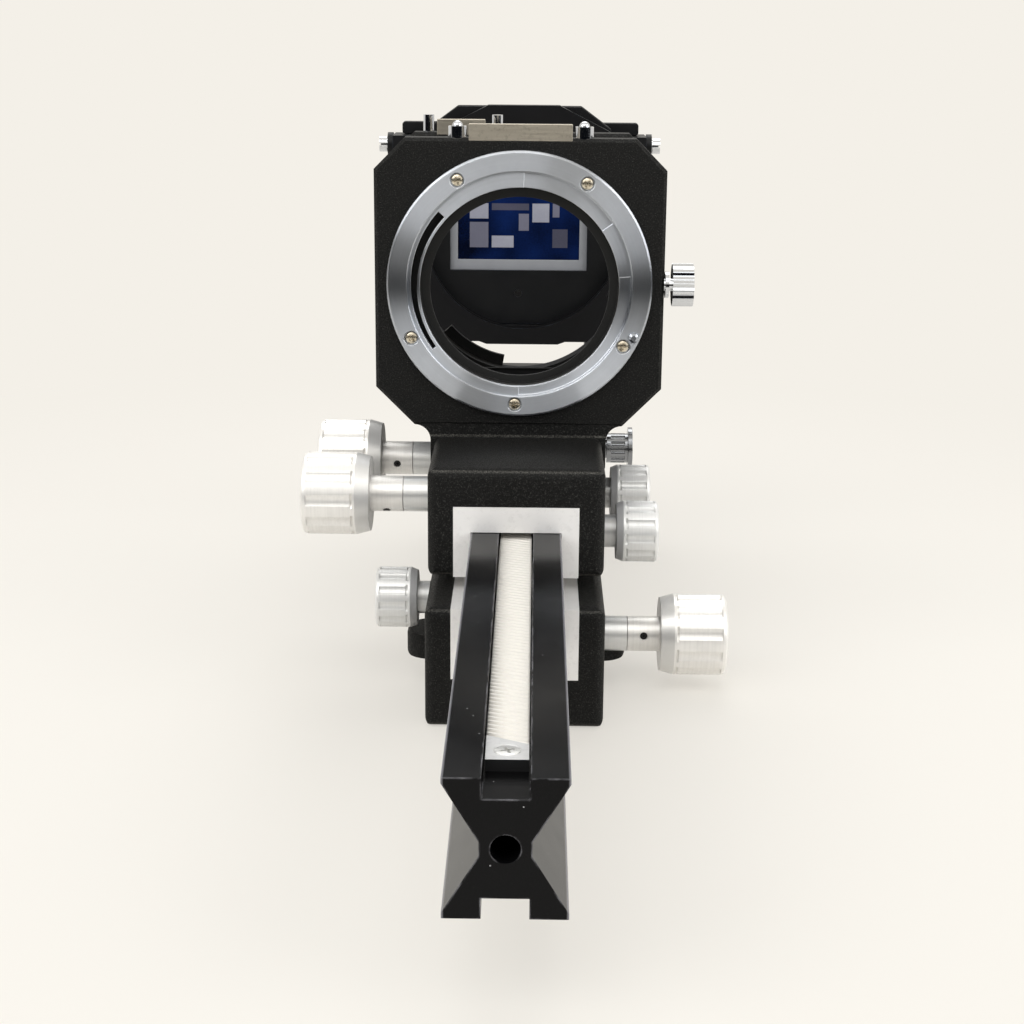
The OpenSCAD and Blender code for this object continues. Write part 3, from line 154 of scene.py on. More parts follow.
def edge_mask(tree, place, width, patch, low=0.02, high=0.22):
    """0 on faces, up to 1 in patches along edges; width and patch in millimetres."""
    rounded = add_node(tree, "ShaderNodeBevel", {"Radius": width * MM}, samples=BEVEL_RAYS)
    true_face = add_node(tree, "ShaderNodeNewGeometry")
    same = add_node(tree, "ShaderNodeVectorMath",
                    {0: rounded.outputs["Normal"], 1: true_face.outputs["Normal"]}, operation="DOT_PRODUCT")
    edge = add_node(tree, "ShaderNodeMapRange",
                    {"Value": same.outputs["Value"], "From Min": 1 - low, "From Max": 1 - high})
    patches = add_node(tree, "ShaderNodeTexNoise",
                       {"Vector": place, "Scale": per_mm(patch), "Detail": 4.0, "Roughness": 0.65})
    wear_and_highlight = add_node(tree, "ShaderNodeMapRange",
                    {"Value": patches.outputs["Fac"], "From Min": 0.42, "From Max": 0.62})
    return add_node(tree, "ShaderNodeMath",
                    {0: edge.outputs["Result"], 1: wear_and_highlight.outputs["Result"]}, operation="MULTIPLY").outputs[0]


# %% [markdown]
# ## Crinkle enamel on the castings
# The block, neck and plate are cast aluminium under black crinkle enamel: a lacquer that shrinks in
# the oven into a net of wrinkles about half a millimetre wide. To the eye it is deep black with a
# grainy grey sheen, because every wrinkle has its own small highlight. Cells from a Voronoi texture
# make the net, noise bends it, and both go into bump, roughness and a little colour. On the blocks
# a grainy painted highlight lies along the crest of each rounded edge, where the normal leans halfway
# between two faces, and a line of painted highlight runs where the neck rises from the block.

# %% Crinkle enamel
CRINKLE = 0.55            # width of a wrinkle in millimetres
CRINKLE_DEPTH = 0.07      # height of a wrinkle in millimetres
CRINKLE_BEND = 1.1        # over how many millimetres the net of wrinkles wanders
CRINKLE_GRAIN = 0.28      # width of the grains on the wrinkles in millimetres
CREST_HIGHLIGHT = "#6b6963"    # painted highlight on the rounded crests and on the line at the neck
BLOCK_TOP = 57.1 * MM     # height of the standards' blocks over the table
BLOCK_REACH = 58.5 * MM   # a height over all blocks and under all plates
NECK_HIGHLIGHT_HALF = 0.3 * MM      # half the height of the painted highlight line where the neck meets the block
NECK_HIGHLIGHT_LIFT = 0.4 * MM      # its middle over the block, so that the block's own top stays out of it


def crest_highlight_mask(tree, place, grain):
    """Grainy lines of painted highlight on the crests of the blocks' rounded edges and where the neck meets
    the block.
    """
    facing = add_node(tree, "ShaderNodeNewGeometry").outputs["True Normal"]
    lean = add_node(tree, "ShaderNodeVectorMath", {0: facing}, operation="ABSOLUTE")
    leans = add_node(tree, "ShaderNodeSeparateXYZ", {0: lean.outputs["Vector"]})
    most = leans.outputs["X"]
    for way in "YZ":
        most = add_node(tree, "ShaderNodeMath", {0: most, 1: leans.outputs[way]},
                        operation="MAXIMUM").outputs[0]
    crest_highlight = add_node(tree, "ShaderNodeMapRange",
                     {"Value": most, "From Min": 0.86, "From Max": 0.74}, interpolation_type="SMOOTHSTEP")
    along = add_node(tree, "ShaderNodeMath", {0: leans.outputs["X"], 1: 0.3}, operation="LESS_THAN")
    height = add_node(tree, "ShaderNodeSeparateXYZ", {0: place}).outputs["Z"]
    on_block = add_node(tree, "ShaderNodeMath", {0: height, 1: BLOCK_REACH}, operation="LESS_THAN")
    crest_highlight = crest_highlight.outputs["Result"]
    for limit in (along, on_block):
        crest_highlight = add_node(tree, "ShaderNodeMath", {0: crest_highlight, 1: limit.outputs[0]},
                         operation="MULTIPLY").outputs[0]
    neck_highlight_line = add_node(tree, "ShaderNodeMath",
                      {0: height, 1: BLOCK_TOP + NECK_HIGHLIGHT_LIFT, 2: NECK_HIGHLIGHT_HALF}, operation="COMPARE")
    either = add_node(tree, "ShaderNodeMath", {0: crest_highlight, 1: neck_highlight_line.outputs[0]}, operation="MAXIMUM")
    grains = add_node(tree, "ShaderNodeMapRange",
                      {"Value": grain, "From Min": 0.35, "From Max": 0.75, "To Max": 0.8})
    return add_node(tree, "ShaderNodeMath",
                    {0: either.outputs[0], 1: grains.outputs["Result"]}, operation="MULTIPLY").outputs[0]


def crinkle_enamel(name, edges=True):
    """Lacquer with wrinkles, grains and specks; with painted edges, also lighter where a sharp edge is, for
    wear and as a painted highlight.
    """
    material, tree, shader = start_material(name, Roughness=0.5, Specular_IOR_Level=0.12)
    place = add_node(tree, "ShaderNodeTexCoord").outputs["Object"]
    wander = add_node(tree, "ShaderNodeTexNoise",
                      {"Vector": place, "Scale": per_mm(CRINKLE_BEND), "Detail": 3.0, "Roughness": 0.6})
    bent = add_node(tree, "ShaderNodeVectorMath",
                    {0: wander.outputs["Color"], 1: (CRINKLE * MM,) * 3, 2: place},
                    operation="MULTIPLY_ADD")
    net = add_node(tree, "ShaderNodeTexVoronoi",
                   {"Vector": bent.outputs["Vector"], "Scale": per_mm(CRINKLE), "Randomness": 1.0},
                   feature="DISTANCE_TO_EDGE")
    ridge = add_node(tree, "ShaderNodeMapRange",
                     {"Value": net.outputs["Distance"], "From Min": 0.0, "From Max": 0.32},
                     interpolation_type="SMOOTHSTEP")
    grain = add_node(tree, "ShaderNodeTexNoise",
                     {"Vector": place, "Scale": per_mm(CRINKLE_GRAIN), "Detail": 2.0, "Roughness": 0.7})
    height = add_node(tree, "ShaderNodeMath",
                      {0: grain.outputs["Fac"], 1: 0.7, 2: ridge.outputs["Result"]}, operation="MULTIPLY_ADD")
    bump = add_node(tree, "ShaderNodeBump",
                    {"Height": height.outputs[0], "Strength": 0.75, "Distance": CRINKLE_DEPTH * MM})
    tone = add_node(tree, "ShaderNodeMix",
                    {"Factor": grain.outputs["Fac"], 6: linear("#050504"), 7: linear("#20201f")},
                    data_type="RGBA")
    speck = add_node(tree, "ShaderNodeMapRange",
                     {"Value": grain.outputs["Fac"], "From Min": 0.56, "From Max": 0.8})
    tone = add_node(tree, "ShaderNodeMix",
                    {"Factor": speck.outputs["Result"], 6: tone.outputs[2], 7: linear("#4e4d4a")},
                    data_type="RGBA")
    # Sharp edges get a lighter colour: wear, and a painted highlight of the light that an edge catches.
    if edges:
        wear_and_highlight = edge_mask(tree, place, 0.5, 1.6)
        tone = add_node(tree, "ShaderNodeMix",
                        {"Factor": wear_and_highlight, 6: tone.outputs[2], 7: linear("#4a4946")}, data_type="RGBA")
    # Painted highlight: lighter grainy lines on the rounded crests and where the neck meets the block.
    crest_highlight = crest_highlight_mask(tree, place, grain.outputs["Fac"])
    tone = add_node(tree, "ShaderNodeMix",
                    {"Factor": crest_highlight, 6: tone.outputs[2], 7: linear(CREST_HIGHLIGHT)}, data_type="RGBA")
    rough = add_node(tree, "ShaderNodeMapRange",
                     {"Value": ridge.outputs["Result"], "To Min": 0.62, "To Max": 0.44})
    tree.links.new(tone.outputs[2], shader.inputs["Base Color"])
    tree.links.new(rough.outputs["Result"], shader.inputs["Roughness"])
    tree.links.new(bump.outputs["Normal"], shader.inputs["Normal"])
    return material


CRINKLE_ENAMEL = crinkle_enamel("black_crinkle_enamel")
WEB_ENAMEL = crinkle_enamel("black_crinkle_enamel_in_corners", edges=False)
print("wrinkles per centimetre:", round(10 / CRINKLE))

# %% [markdown]
# ## Black anodised aluminium on the rail
# The rail is drawn aluminium, milled and dyed black in an anodising bath. Dye sits in the oxide, so
# the surface behaves like a clear hard skin over black: no coloured metal shine, a soft silky
# highlight, and faint lines along the rail from the milling. The tips of the dovetail, which every
# block slides on, are painted grey: partly wear from the blocks, partly a painted highlight of the
# light on the rounded tips. The edges get a patchy lighter colour as a painted highlight, and a few
# grains of dust lie on the rail.

# %% Anodised aluminium
MILL_LINE = 0.25          # spacing of the milling lines in millimetres
MILL_DEPTH = 0.006        # and their depth
DYE_CLOUD = 9             # width in millimetres of the patches in which the dye took unevenly
DUST_APART = 3.5          # how far grains of dust lie apart in millimetres
DUST_GRAIN = 0.14         # and half the width of one; a real grain is finer, and would not show
TIP_WEAR_AND_HIGHLIGHT = 0.45         # width in millimetres of the grey tips of the dovetail: wear and painted highlight
TIP_FADE = 0.3            # over how many of these millimetres the grey sets in
ANY_WAY = (1.0, 1.0, 1.0)
ALONG_RAIL = (1.0, 0.02, 1.0)


def anodised_black(name, tone="#0c0c0d", line_tone="#161617", edge_tone="#77767a", roughness=0.26,
                   stretch=ALONG_RAIL, shine=0.3, edge=(0.3, 2.5, 0.02, 0.22), dust=None, tip_wear_and_highlight_from=None):
    """Black with faint lines and a patchy lighter colour on its edges: wear and a painted highlight. The
    edge highlight holds what the edge mask takes, dust is the colour of its grains, and from the tip
    distance in metres to each side the surface turns grey, for wear and as a painted highlight."""
    material, tree, shader = start_material(name, Specular_IOR_Level=shine, Roughness=roughness)
    place = add_node(tree, "ShaderNodeTexCoord").outputs["Object"]
    drawn = add_node(tree, "ShaderNodeVectorMath", {0: place, 1: stretch}, operation="MULTIPLY")
    lines = add_node(tree, "ShaderNodeTexNoise",
                     {"Vector": drawn.outputs["Vector"], "Scale": per_mm(MILL_LINE), "Detail": 3.0,
                      "Roughness": 0.6})
    cloud = add_node(tree, "ShaderNodeTexNoise",
                     {"Vector": place, "Scale": per_mm(DYE_CLOUD), "Detail": 3.0})
    rough = add_node(tree, "ShaderNodeMapRange",
                     {"Value": cloud.outputs["Fac"], "To Min": roughness - 0.05, "To Max": roughness + 0.08})
    bump = add_node(tree, "ShaderNodeBump",
                    {"Height": lines.outputs["Fac"], "Strength": 0.35, "Distance": MILL_DEPTH * MM})
    tint = add_node(tree, "ShaderNodeMix",
                    {"Factor": lines.outputs["Fac"], 6: linear(tone), 7: linear(line_tone)},
                    data_type="RGBA")
    if dust:
        specks = add_node(tree, "ShaderNodeTexVoronoi", {"Vector": place, "Scale": per_mm(DUST_APART)})
        on_speck = add_node(tree, "ShaderNodeMath",
                            {0: specks.outputs["Distance"], 1: DUST_GRAIN / DUST_APART},
                            operation="LESS_THAN")
        tint = add_node(tree, "ShaderNodeMix",
                        {"Factor": on_speck.outputs[0], 6: tint.outputs[2], 7: linear(dust)},
                        data_type="RGBA")
    # Painted grey along the dovetail's tips: wear from the blocks and a painted highlight of the rounded
    # tips.
    if tip_wear_and_highlight_from:
        across = add_node(tree, "ShaderNodeSeparateXYZ", {0: place}).outputs["X"]
        aside = add_node(tree, "ShaderNodeMath", {0: across}, operation="ABSOLUTE")
        on_tip = add_node(tree, "ShaderNodeMapRange",
                          {"Value": aside.outputs[0], "From Min": tip_wear_and_highlight_from,
                           "From Max": tip_wear_and_highlight_from + TIP_FADE * MM, "To Max": 0.7})
        tint = add_node(tree, "ShaderNodeMix",
                        {"Factor": on_tip.outputs["Result"], 6: tint.outputs[2], 7: linear(edge_tone)},
                        data_type="RGBA")
    wear_and_highlight = add_node(tree, "ShaderNodeMix",
                    {"Factor": edge_mask(tree, place, *edge), 6: tint.outputs[2], 7: linear(edge_tone)},
                    data_type="RGBA")
    tree.links.new(wear_and_highlight.outputs[2], shader.inputs["Base Color"])
    tree.links.new(rough.outputs["Result"], shader.inputs["Roughness"])
    tree.links.new(bump.outputs["Normal"], shader.inputs["Normal"])
    return material


RAIL_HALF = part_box("rail")[1].x
# The edge tones are painted highlights along the edges, patchy like wear; on the rail the same grey also lies
# along the tips of the dovetail.
ANODISED_RAIL = anodised_black("black_anodised_rail", tone="#060607", line_tone="#0e0e0f",
                               edge_tone="#8d8c90", roughness=0.17, shine=0.13,
                               edge=(0.5, 6.0, 0.015, 0.12), dust="#8b8b8b",
                               tip_wear_and_highlight_from=RAIL_HALF - TIP_WEAR_AND_HIGHLIGHT * MM)
SATIN_ENAMEL = anodised_black("satin_black_enamel", tone="#0c0c0e", edge_tone="#343a42",
                              roughness=0.42, shine=0.2, stretch=ANY_WAY)
DEAD_BLACK = anodised_black("matt_black_baffle_paint", tone="#171716", line_tone="#2a2a29",
                            edge_tone="#4d4d4c", roughness=0.5, shine=0.3, stretch=ANY_WAY)
print("black finishes:", ANODISED_RAIL.name, SATIN_ENAMEL.name, DEAD_BLACK.name)

# %% [markdown]
# ## Turned metal
# Knobs, sleeves and rings come off a lathe. The tool leaves fine rings round the axis, which draw
# the highlight out into a bar on the sides and into a bow tie on a flat end. The pattern is noise
# that is read along the axis and outward from it, and never round it, so it makes true rings. The
# shader's anisotropy does the same for the gloss.

# %% Turned and plated metals
QUARTER_TURN = 0.25       # the shader blurs along its tangent, and grooves blur across themselves
GROOVE_LIGHT = 0.91       # share of the light that the grooves give back, next to the crests
SMEAR = 4                 # width of the smears from fingers in millimetres


def turned_metal(name, colour, roughness, centre, axis, ring=0.12, relief=0.003, uneven=0.10, edge=None,
                 metal=1.0, comb=0.35, stripe=None, round_edge=None):
    """Metal with tool rings round an axis ("X", "Y" or "Z") through a point. A stripe is a stretch of
    the axis with its own colour: its middle and half its length in metres, and the colour. A round
    edge of so many millimetres is shaded onto every corner, and catches a thin line of light."""
    material, tree, shader = start_material(name, Metallic=metal, Roughness=roughness, Anisotropic=comb,
                                            Anisotropic_Rotation=QUARTER_TURN)
    place = add_node(tree, "ShaderNodeTexCoord").outputs["Object"]
    around = add_node(tree, "ShaderNodeVectorMath", {0: place, 1: tuple(centre)}, operation="SUBTRACT")
    parts = add_node(tree, "ShaderNodeSeparateXYZ", {0: around.outputs["Vector"]})
    off_axis = [parts.outputs[c] for c in "XYZ" if c != axis]
    flat = add_node(tree, "ShaderNodeCombineXYZ", {0: off_axis[0], 1: off_axis[1]})
    radius = add_node(tree, "ShaderNodeVectorMath", {0: flat.outputs[0]}, operation="LENGTH")
    read = add_node(tree, "ShaderNodeCombineXYZ", {0: parts.outputs[axis], 1: radius.outputs["Value"]})
    rings = add_node(tree, "ShaderNodeTexNoise",
                     {"Vector": read.outputs[0], "Scale": per_mm(ring), "Detail": 2.0, "Roughness": 0.5})
    smears = add_node(tree, "ShaderNodeTexNoise",
                      {"Vector": place, "Scale": per_mm(SMEAR), "Detail": 4.0, "Roughness": 0.6})
    mixed = add_node(tree, "ShaderNodeMath",
                     {0: rings.outputs["Fac"], 1: smears.outputs["Fac"]}, operation="ADD")
    rough = add_node(tree, "ShaderNodeMapRange",
                     {"Value": mixed.outputs[0], "From Min": 0.6, "From Max": 1.4,
                      "To Min": roughness - uneven / 2, "To Max": roughness + uneven / 2})
    bump = add_node(tree, "ShaderNodeBump",
                    {"Height": rings.outputs["Fac"], "Strength": 0.5, "Distance": relief * MM})
    if round_edge:
        corner = add_node(tree, "ShaderNodeBevel", {"Radius": round_edge * MM}, samples=BEVEL_RAYS)
        tree.links.new(corner.outputs["Normal"], bump.inputs["Normal"])
    around_axis = add_node(tree, "ShaderNodeTangent", direction_type="RADIAL", axis=axis)
    dulled = add_node(tree, "ShaderNodeMapRange",
                      {"Value": mixed.outputs[0], "From Min": 0.75, "From Max": 1.25})
    final = add_node(tree, "ShaderNodeMix",
                     {"Factor": dulled.outputs["Result"], 6: linear(colour),
                      7: darker(colour, GROOVE_LIGHT)}, data_type="RGBA").outputs[2]
    if stripe:
        within = add_node(tree, "ShaderNodeMath",
                          {0: parts.outputs[axis], 1: stripe[0] - centre["XYZ".index(axis)], 2: stripe[1]},
                          operation="COMPARE")
        final = add_node(tree, "ShaderNodeMix",
                         {"Factor": within.outputs[0], 6: final, 7: linear(stripe[2])},
                         data_type="RGBA").outputs[2]
    # The edge colour is a painted highlight: a patchy light line along the edges and steps.
    if edge:
        final = add_node(tree, "ShaderNodeMix",
                         {"Factor": edge_mask(tree, place, 0.25, 3.0), 6: final, 7: linear(edge)},
                         data_type="RGBA").outputs[2]
    tree.links.new(final, shader.inputs["Base Color"])
    tree.links.new(rough.outputs["Result"], shader.inputs["Roughness"])
    tree.links.new(bump.outputs["Normal"], shader.inputs["Normal"])
    tree.links.new(around_axis.outputs["Tangent"], shader.inputs["Tangent"])
    return material


# %% [markdown]
# ## Milled, cut and brushed metal
# The dovetail liners are milled aluminium, the racks are cut steel and the catches are rolled
# strip. All three carry straight lines in one direction. Noise that is stretched along that
# direction gives them, and scattered scuffs keep a large face from looking printed.

# %% Metal with straight lines
SCUFF = 1.4               # width of a scuff in millimetres


def lined_metal(name, colour, roughness, stretch, line=0.2, relief=0.003, scuff="#b9b7b2", scuffed=0.35,
                metal=1.0, upright_colour=None, round_edge=None):
    """Metal with fine parallel lines; stretch is small along the lines and 1 across them. The upright
    colour goes on every face that is upright, and the flat faces keep the main colour. A round
    edge of so many millimetres is shaded onto every corner."""
    material, tree, shader = start_material(name, Metallic=metal, Roughness=roughness)
    place = add_node(tree, "ShaderNodeTexCoord").outputs["Object"]
    drawn = add_node(tree, "ShaderNodeVectorMath", {0: place, 1: stretch}, operation="MULTIPLY")
    lines = add_node(tree, "ShaderNodeTexNoise",
                     {"Vector": drawn.outputs["Vector"], "Scale": per_mm(line), "Detail": 3.0,
                      "Roughness": 0.6})
    scuffs = add_node(tree, "ShaderNodeTexNoise",
                      {"Vector": place, "Scale": per_mm(SCUFF), "Detail": 5.0, "Roughness": 0.75})
    marks = add_node(tree, "ShaderNodeMapRange",
                     {"Value": scuffs.outputs["Fac"], "From Min": 0.52, "From Max": 0.72, "To Max": scuffed})
    tint = add_node(tree, "ShaderNodeMix",
                    {"Factor": marks.outputs["Result"], 6: linear(colour), 7: linear(scuff)},
                    data_type="RGBA")
    # Upright faces get a darker colour than the flat ones.
    if upright_colour:
        facing = add_node(tree, "ShaderNodeNewGeometry").outputs["True Normal"]
        upward = add_node(tree, "ShaderNodeSeparateXYZ", {0: facing}).outputs["Z"]
        upright = add_node(tree, "ShaderNodeMath", {0: upward, 1: 0.0, 2: 0.5}, operation="COMPARE")
        tint = add_node(tree, "ShaderNodeMix",
                        {"Factor": upright.outputs[0], 6: tint.outputs[2], 7: linear(upright_colour)},
                        data_type="RGBA")
    rough = add_node(tree, "ShaderNodeMapRange",
                     {"Value": lines.outputs["Fac"], "From Min": 0.3, "From Max": 0.7,
                      "To Min": roughness - 0.07, "To Max": roughness + 0.09})
    bump = add_node(tree, "ShaderNodeBump",
                    {"Height": lines.outputs["Fac"], "Strength": 0.5, "Distance": relief * MM})
    if round_edge:
        corner = add_node(tree, "ShaderNodeBevel", {"Radius": round_edge * MM}, samples=BEVEL_RAYS)
        tree.links.new(corner.outputs["Normal"], bump.inputs["Normal"])
    tree.links.new(tint.outputs[2], shader.inputs["Base Color"])
    tree.links.new(rough.outputs["Result"], shader.inputs["Roughness"])
    tree.links.new(bump.outputs["Normal"], shader.inputs["Normal"])
    return material


ACROSS_RAIL = (0.03, 1.0, 1.0)
UPWARD = (1.0, 1.0, 0.03)
MILLED_ALLOY = lined_metal("milled_anodised_aluminium", "#faf8f5", 0.38, UPWARD, line=0.5, relief=0.001,
                           metal=0.2, scuffed=0.2)
CUT_STEEL = lined_metal("cut_rack_steel", "#eeeae2", 0.5, ACROSS_RAIL, line=0.12, scuff="#e6e3dd",
                        metal=0.15, round_edge=0.8)
END_PLATE_STEEL = lined_metal("steel_darker_on_upright_faces", "#c9c9c8", 0.4, ACROSS_RAIL, line=0.15,
                              scuff="#8f8f8e", metal=0.4, upright_colour="#2e2e2f")
PLAIN_STEEL = lined_metal("bright_steel", "#dadad8", 0.3, ACROSS_RAIL, line=0.15, metal=0.8)
NICKEL_STRIP = lined_metal("nickel_plated_strip", "#bfb8aa", 0.46, ACROSS_RAIL, line=0.25, scuff="#7d766a",
                           scuffed=0.6)
GIB_BRASS = lined_metal("gib_brass", "#c9ab62", 0.34, ALONG_RAIL, line=0.2, scuff="#8d7440")
BLACKENED_STEEL = lined_metal("blackened_steel", "#3a3a3a", 0.42, ANY_WAY, line=0.3, scuff="#777673")
SCREW_NICKEL = lined_metal("nickel_plated_screws", "#d6ccb8", 0.24, ANY_WAY, line=0.2, scuff="#a2977f")
print("lined metals:", [m.name for m in (MILLED_ALLOY, CUT_STEEL, PLAIN_STEEL, NICKEL_STRIP)])

# %% [markdown]
# ## Plastics, cloth and film
# The slide stage and its parts are moulded black plastic with a fine spark-eroded grain. The slide
# has a pale grey moulded frame round a glossy strip of film. The bellows is coated cloth: a woven
# base under a rubbery skin, which is nearly black, dull, and catches light only on its folds.

# %% Moulded plastic
HANDLED = 7               # width in millimetres of the patches that hands have polished
HANDLED_LIGHT = 0.8       # and the share of the light that they give back


def moulded_plastic(name, colour, roughness, grain=0.25, depth=0.012, edge_tone=None, shine=0.5):
    """Injection moulded plastic with the grain of its mould; grain and depth in millimetres."""
    material, tree, shader = start_material(name, Roughness=roughness, IOR=1.53, Specular_IOR_Level=shine)
    place = add_node(tree, "ShaderNodeTexCoord").outputs["Object"]
    pores = add_node(tree, "ShaderNodeTexNoise",
                     {"Vector": place, "Scale": per_mm(grain), "Detail": 2.0, "Roughness": 0.6})
    handled = add_node(tree, "ShaderNodeTexNoise",
                       {"Vector": place, "Scale": per_mm(HANDLED), "Detail": 3.0, "Roughness": 0.6})
    rough = add_node(tree, "ShaderNodeMapRange",
                     {"Value": handled.outputs["Fac"], "From Min": 0.3, "From Max": 0.7,
                      "To Min": roughness - 0.06, "To Max": roughness + 0.08})
    bump = add_node(tree, "ShaderNodeBump",
                    {"Height": pores.outputs["Fac"], "Strength": 0.5, "Distance": depth * MM})
    final = add_node(tree, "ShaderNodeMix",
                     {"Factor": handled.outputs["Fac"], 6: linear(colour), 7: darker(colour, HANDLED_LIGHT)},
                     data_type="RGBA").outputs[2]
    # The edge tone is a painted highlight along the edges, patchy like wear.
    if edge_tone:
        final = add_node(tree, "ShaderNodeMix",
                         {"Factor": edge_mask(tree, place, 0.3, 3.0), 6: final, 7: linear(edge_tone)},
                         data_type="RGBA").outputs[2]
    tree.links.new(final, shader.inputs["Base Color"])
    tree.links.new(rough.outputs["Result"], shader.inputs["Roughness"])
    tree.links.new(bump.outputs["Normal"], shader.inputs["Normal"])
    return material


# Both edge tones are painted highlights along the moulded edges.
STAGE_PLASTIC = moulded_plastic("black_moulded_plastic", "#0e0f11", 0.46, edge_tone="#333a44", shine=0.25)
SLIDE_PLASTIC = moulded_plastic("grey_slide_frame_plastic", "#94969a", 0.5, edge_tone="#c9cbcd")
OPAL_SHEET = moulded_plastic("opal_acrylic", "#f0efea", 0.35, grain=0.6, depth=0.004)
FRAME_BOARD = moulded_plastic("black_fibre_board", "#0b0b0b", 0.72, grain=0.35, depth=0.03, shine=0.2)
print("plastics:", STAGE_PLASTIC.name, SLIDE_PLASTIC.name, OPAL_SHEET.name, FRAME_BOARD.name)

# %% Coated cloth
RIB = 2.2                 # spacing in millimetres of the ribs that the woven base draws in the coating;
#                           a real thread is finer, and would not show
RIB_DEPTH = 0.03          # and their height
WAVE_TURN = 20            # the Wave texture turns its phase by this many radians over one unit
CLOTH_RUB = 5             # width of the rubbed patches in millimetres


def coated_cloth(name):
    """Woven cloth under a rubbery coat: ribs along and aslant, with patches where folds have rubbed."""
    material, tree, shader = start_material(name, Roughness=0.62, Specular_IOR_Level=0.25,
                                            Sheen_Weight=0.12, Sheen_Roughness=0.4)
    place = add_node(tree, "ShaderNodeTexCoord").outputs["Object"]
    ribs = per_mm(RIB) * math.tau / WAVE_TURN
    warp, weft = (add_node(tree, "ShaderNodeTexWave",
                           {"Vector": place, "Scale": ribs, "Distortion": 0.6, "Detail": 1.0},
                           bands_direction=way) for way in ("Y", "DIAGONAL"))
    weave = add_node(tree, "ShaderNodeMath", {0: warp.outputs["Fac"], 1: weft.outputs["Fac"]},
                     operation="MULTIPLY")
    bump = add_node(tree, "ShaderNodeBump",
                    {"Height": weave.outputs[0], "Strength": 0.5, "Distance": RIB_DEPTH * MM})
    rub = add_node(tree, "ShaderNodeTexNoise", {"Vector": place, "Scale": per_mm(CLOTH_RUB), "Detail": 4.0})
    tint = add_node(tree, "ShaderNodeMix",
                    {"Factor": rub.outputs["Fac"], 6: linear("#0c0c0d"), 7: linear("#222224")},
                    data_type="RGBA")
    tree.links.new(tint.outputs[2], shader.inputs["Base Color"])
    tree.links.new(bump.outputs["Normal"], shader.inputs["Normal"])
    return material


BELLOWS_CLOTH = coated_cloth("coated_bellows_cloth")
print("ribs of the cloth per centimetre:", round(10 / RIB, 1))

# %% Film
DYE_DRIFT = 14            # over how many millimetres the dye changes in depth
DYE_GRAIN = 0.5           # size in millimetres of its grains, drawn coarser than real ones to show


def colour_film(name, deep, light, painted_backlight):
    """Developed film: dye layers in clear gelatine, glossy; the light from behind is painted as a glow in the
    dye's colour.
    """
    material, tree, shader = start_material(name, Roughness=0.14, IOR=1.5, Specular_IOR_Level=0.3,
                                            Emission_Strength=painted_backlight)
    place = add_node(tree, "ShaderNodeTexCoord").outputs["Object"]
    drift = add_node(tree, "ShaderNodeTexNoise", {"Vector": place, "Scale": per_mm(DYE_DRIFT), "Detail": 2.0})
    grain = add_node(tree, "ShaderNodeTexNoise", {"Vector": place, "Scale": per_mm(DYE_GRAIN), "Detail": 4.0})
    both = add_node(tree, "ShaderNodeMath", {0: grain.outputs["Fac"], 1: 0.25, 2: drift.outputs["Fac"]},
                    operation="MULTIPLY_ADD")
    ramp = add_node(tree, "ShaderNodeMapRange", {"Value": both.outputs[0], "From Min": 0.4, "From Max": 0.85})
    dye = add_node(tree, "ShaderNodeMix",
                   {"Factor": ramp.outputs["Result"], 6: linear(deep), 7: linear(light)}, data_type="RGBA")
    tree.links.new(dye.outputs[2], shader.inputs["Base Color"])
    tree.links.new(dye.outputs[2], shader.inputs["Emission Color"])
    return material


# The last number is a painted backlight: the film glows in its dye's colour.
FILM_BASE = colour_film("film_dark_blue_dye", "#050919", "#0c1f4c", 0.18)
FILM_TONES = {
    "dark": colour_film("film_dark_grey_dye", "#3f3f4a", "#4a4a58", 0.2),
    "mid": colour_film("film_mid_grey_dye", "#5f5f6b", "#6b6b79", 0.2),
    "pale": colour_film("film_pale_grey_dye", "#83848f", "#94959f", 0.2),
}
print("film dyes:", sorted(FILM_TONES))

# %% [markdown]
# ## Every piece gets its finish
# The measured pieces keep their shape, so most of them only need their material. Each turned piece
# gets turned metal of its own, with the axis through the middle of the piece's box. Some flat-faced
# pieces also get a small bevel: no real edge is perfectly sharp, and the bevel catches the light.

# %% Give nodes their materials
def dress(material, *names):
    """Gives measured pieces this material in place of what they came with."""
    for name in names:
        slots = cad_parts[name].data.materials
        slots.clear()
        slots.append(material)


def centre_of(name):
    """Middle of a measured piece's box, in metres."""
    low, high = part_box(name)
    return (low + high) / 2


dress(CRINKLE_ENAMEL, "tripod_block", "front_standard", "rear_standard")
dress(ANODISED_RAIL, "rail")
dress(SATIN_ENAMEL, "copier_frame", "stage_keeper")
dress(DEAD_BLACK, "rear_ring", "throat_baffle")
dress(MILLED_ALLOY, "tripod_liner", "front_liner", "rear_liner")
dress(END_PLATE_STEEL, "rack_end_plates")
dress(CUT_STEEL, "top_rack", "bottom_rack")
dress(PLAIN_STEEL, "rack_screws", "tripod_bush")
dress(NICKEL_STRIP, "front_catch", "rear_catch")
dress(GIB_BRASS, "tripod_gib", "front_gib", "rear_gib")
dress(BLACKENED_STEEL, "drive_set_screw", "front_set_screw", "rear_set_screw", "rear_ring_screws",
      "stage_screw")
dress(SCREW_NICKEL, "ring_screws")
dress(STAGE_PLASTIC, "slide_stage", "slide_guide", "guide_bar", "diffuser_frame")
dress(SLIDE_PLASTIC, "slide_mount")
dress(FILM_BASE, "film")
dress(OPAL_SHEET, "diffuser")
dress(FRAME_BOARD, "front_bellows_frame", "rear_bellows_frame")
print("dressed so far:", sum(1 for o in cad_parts.values() if o.data.materials))

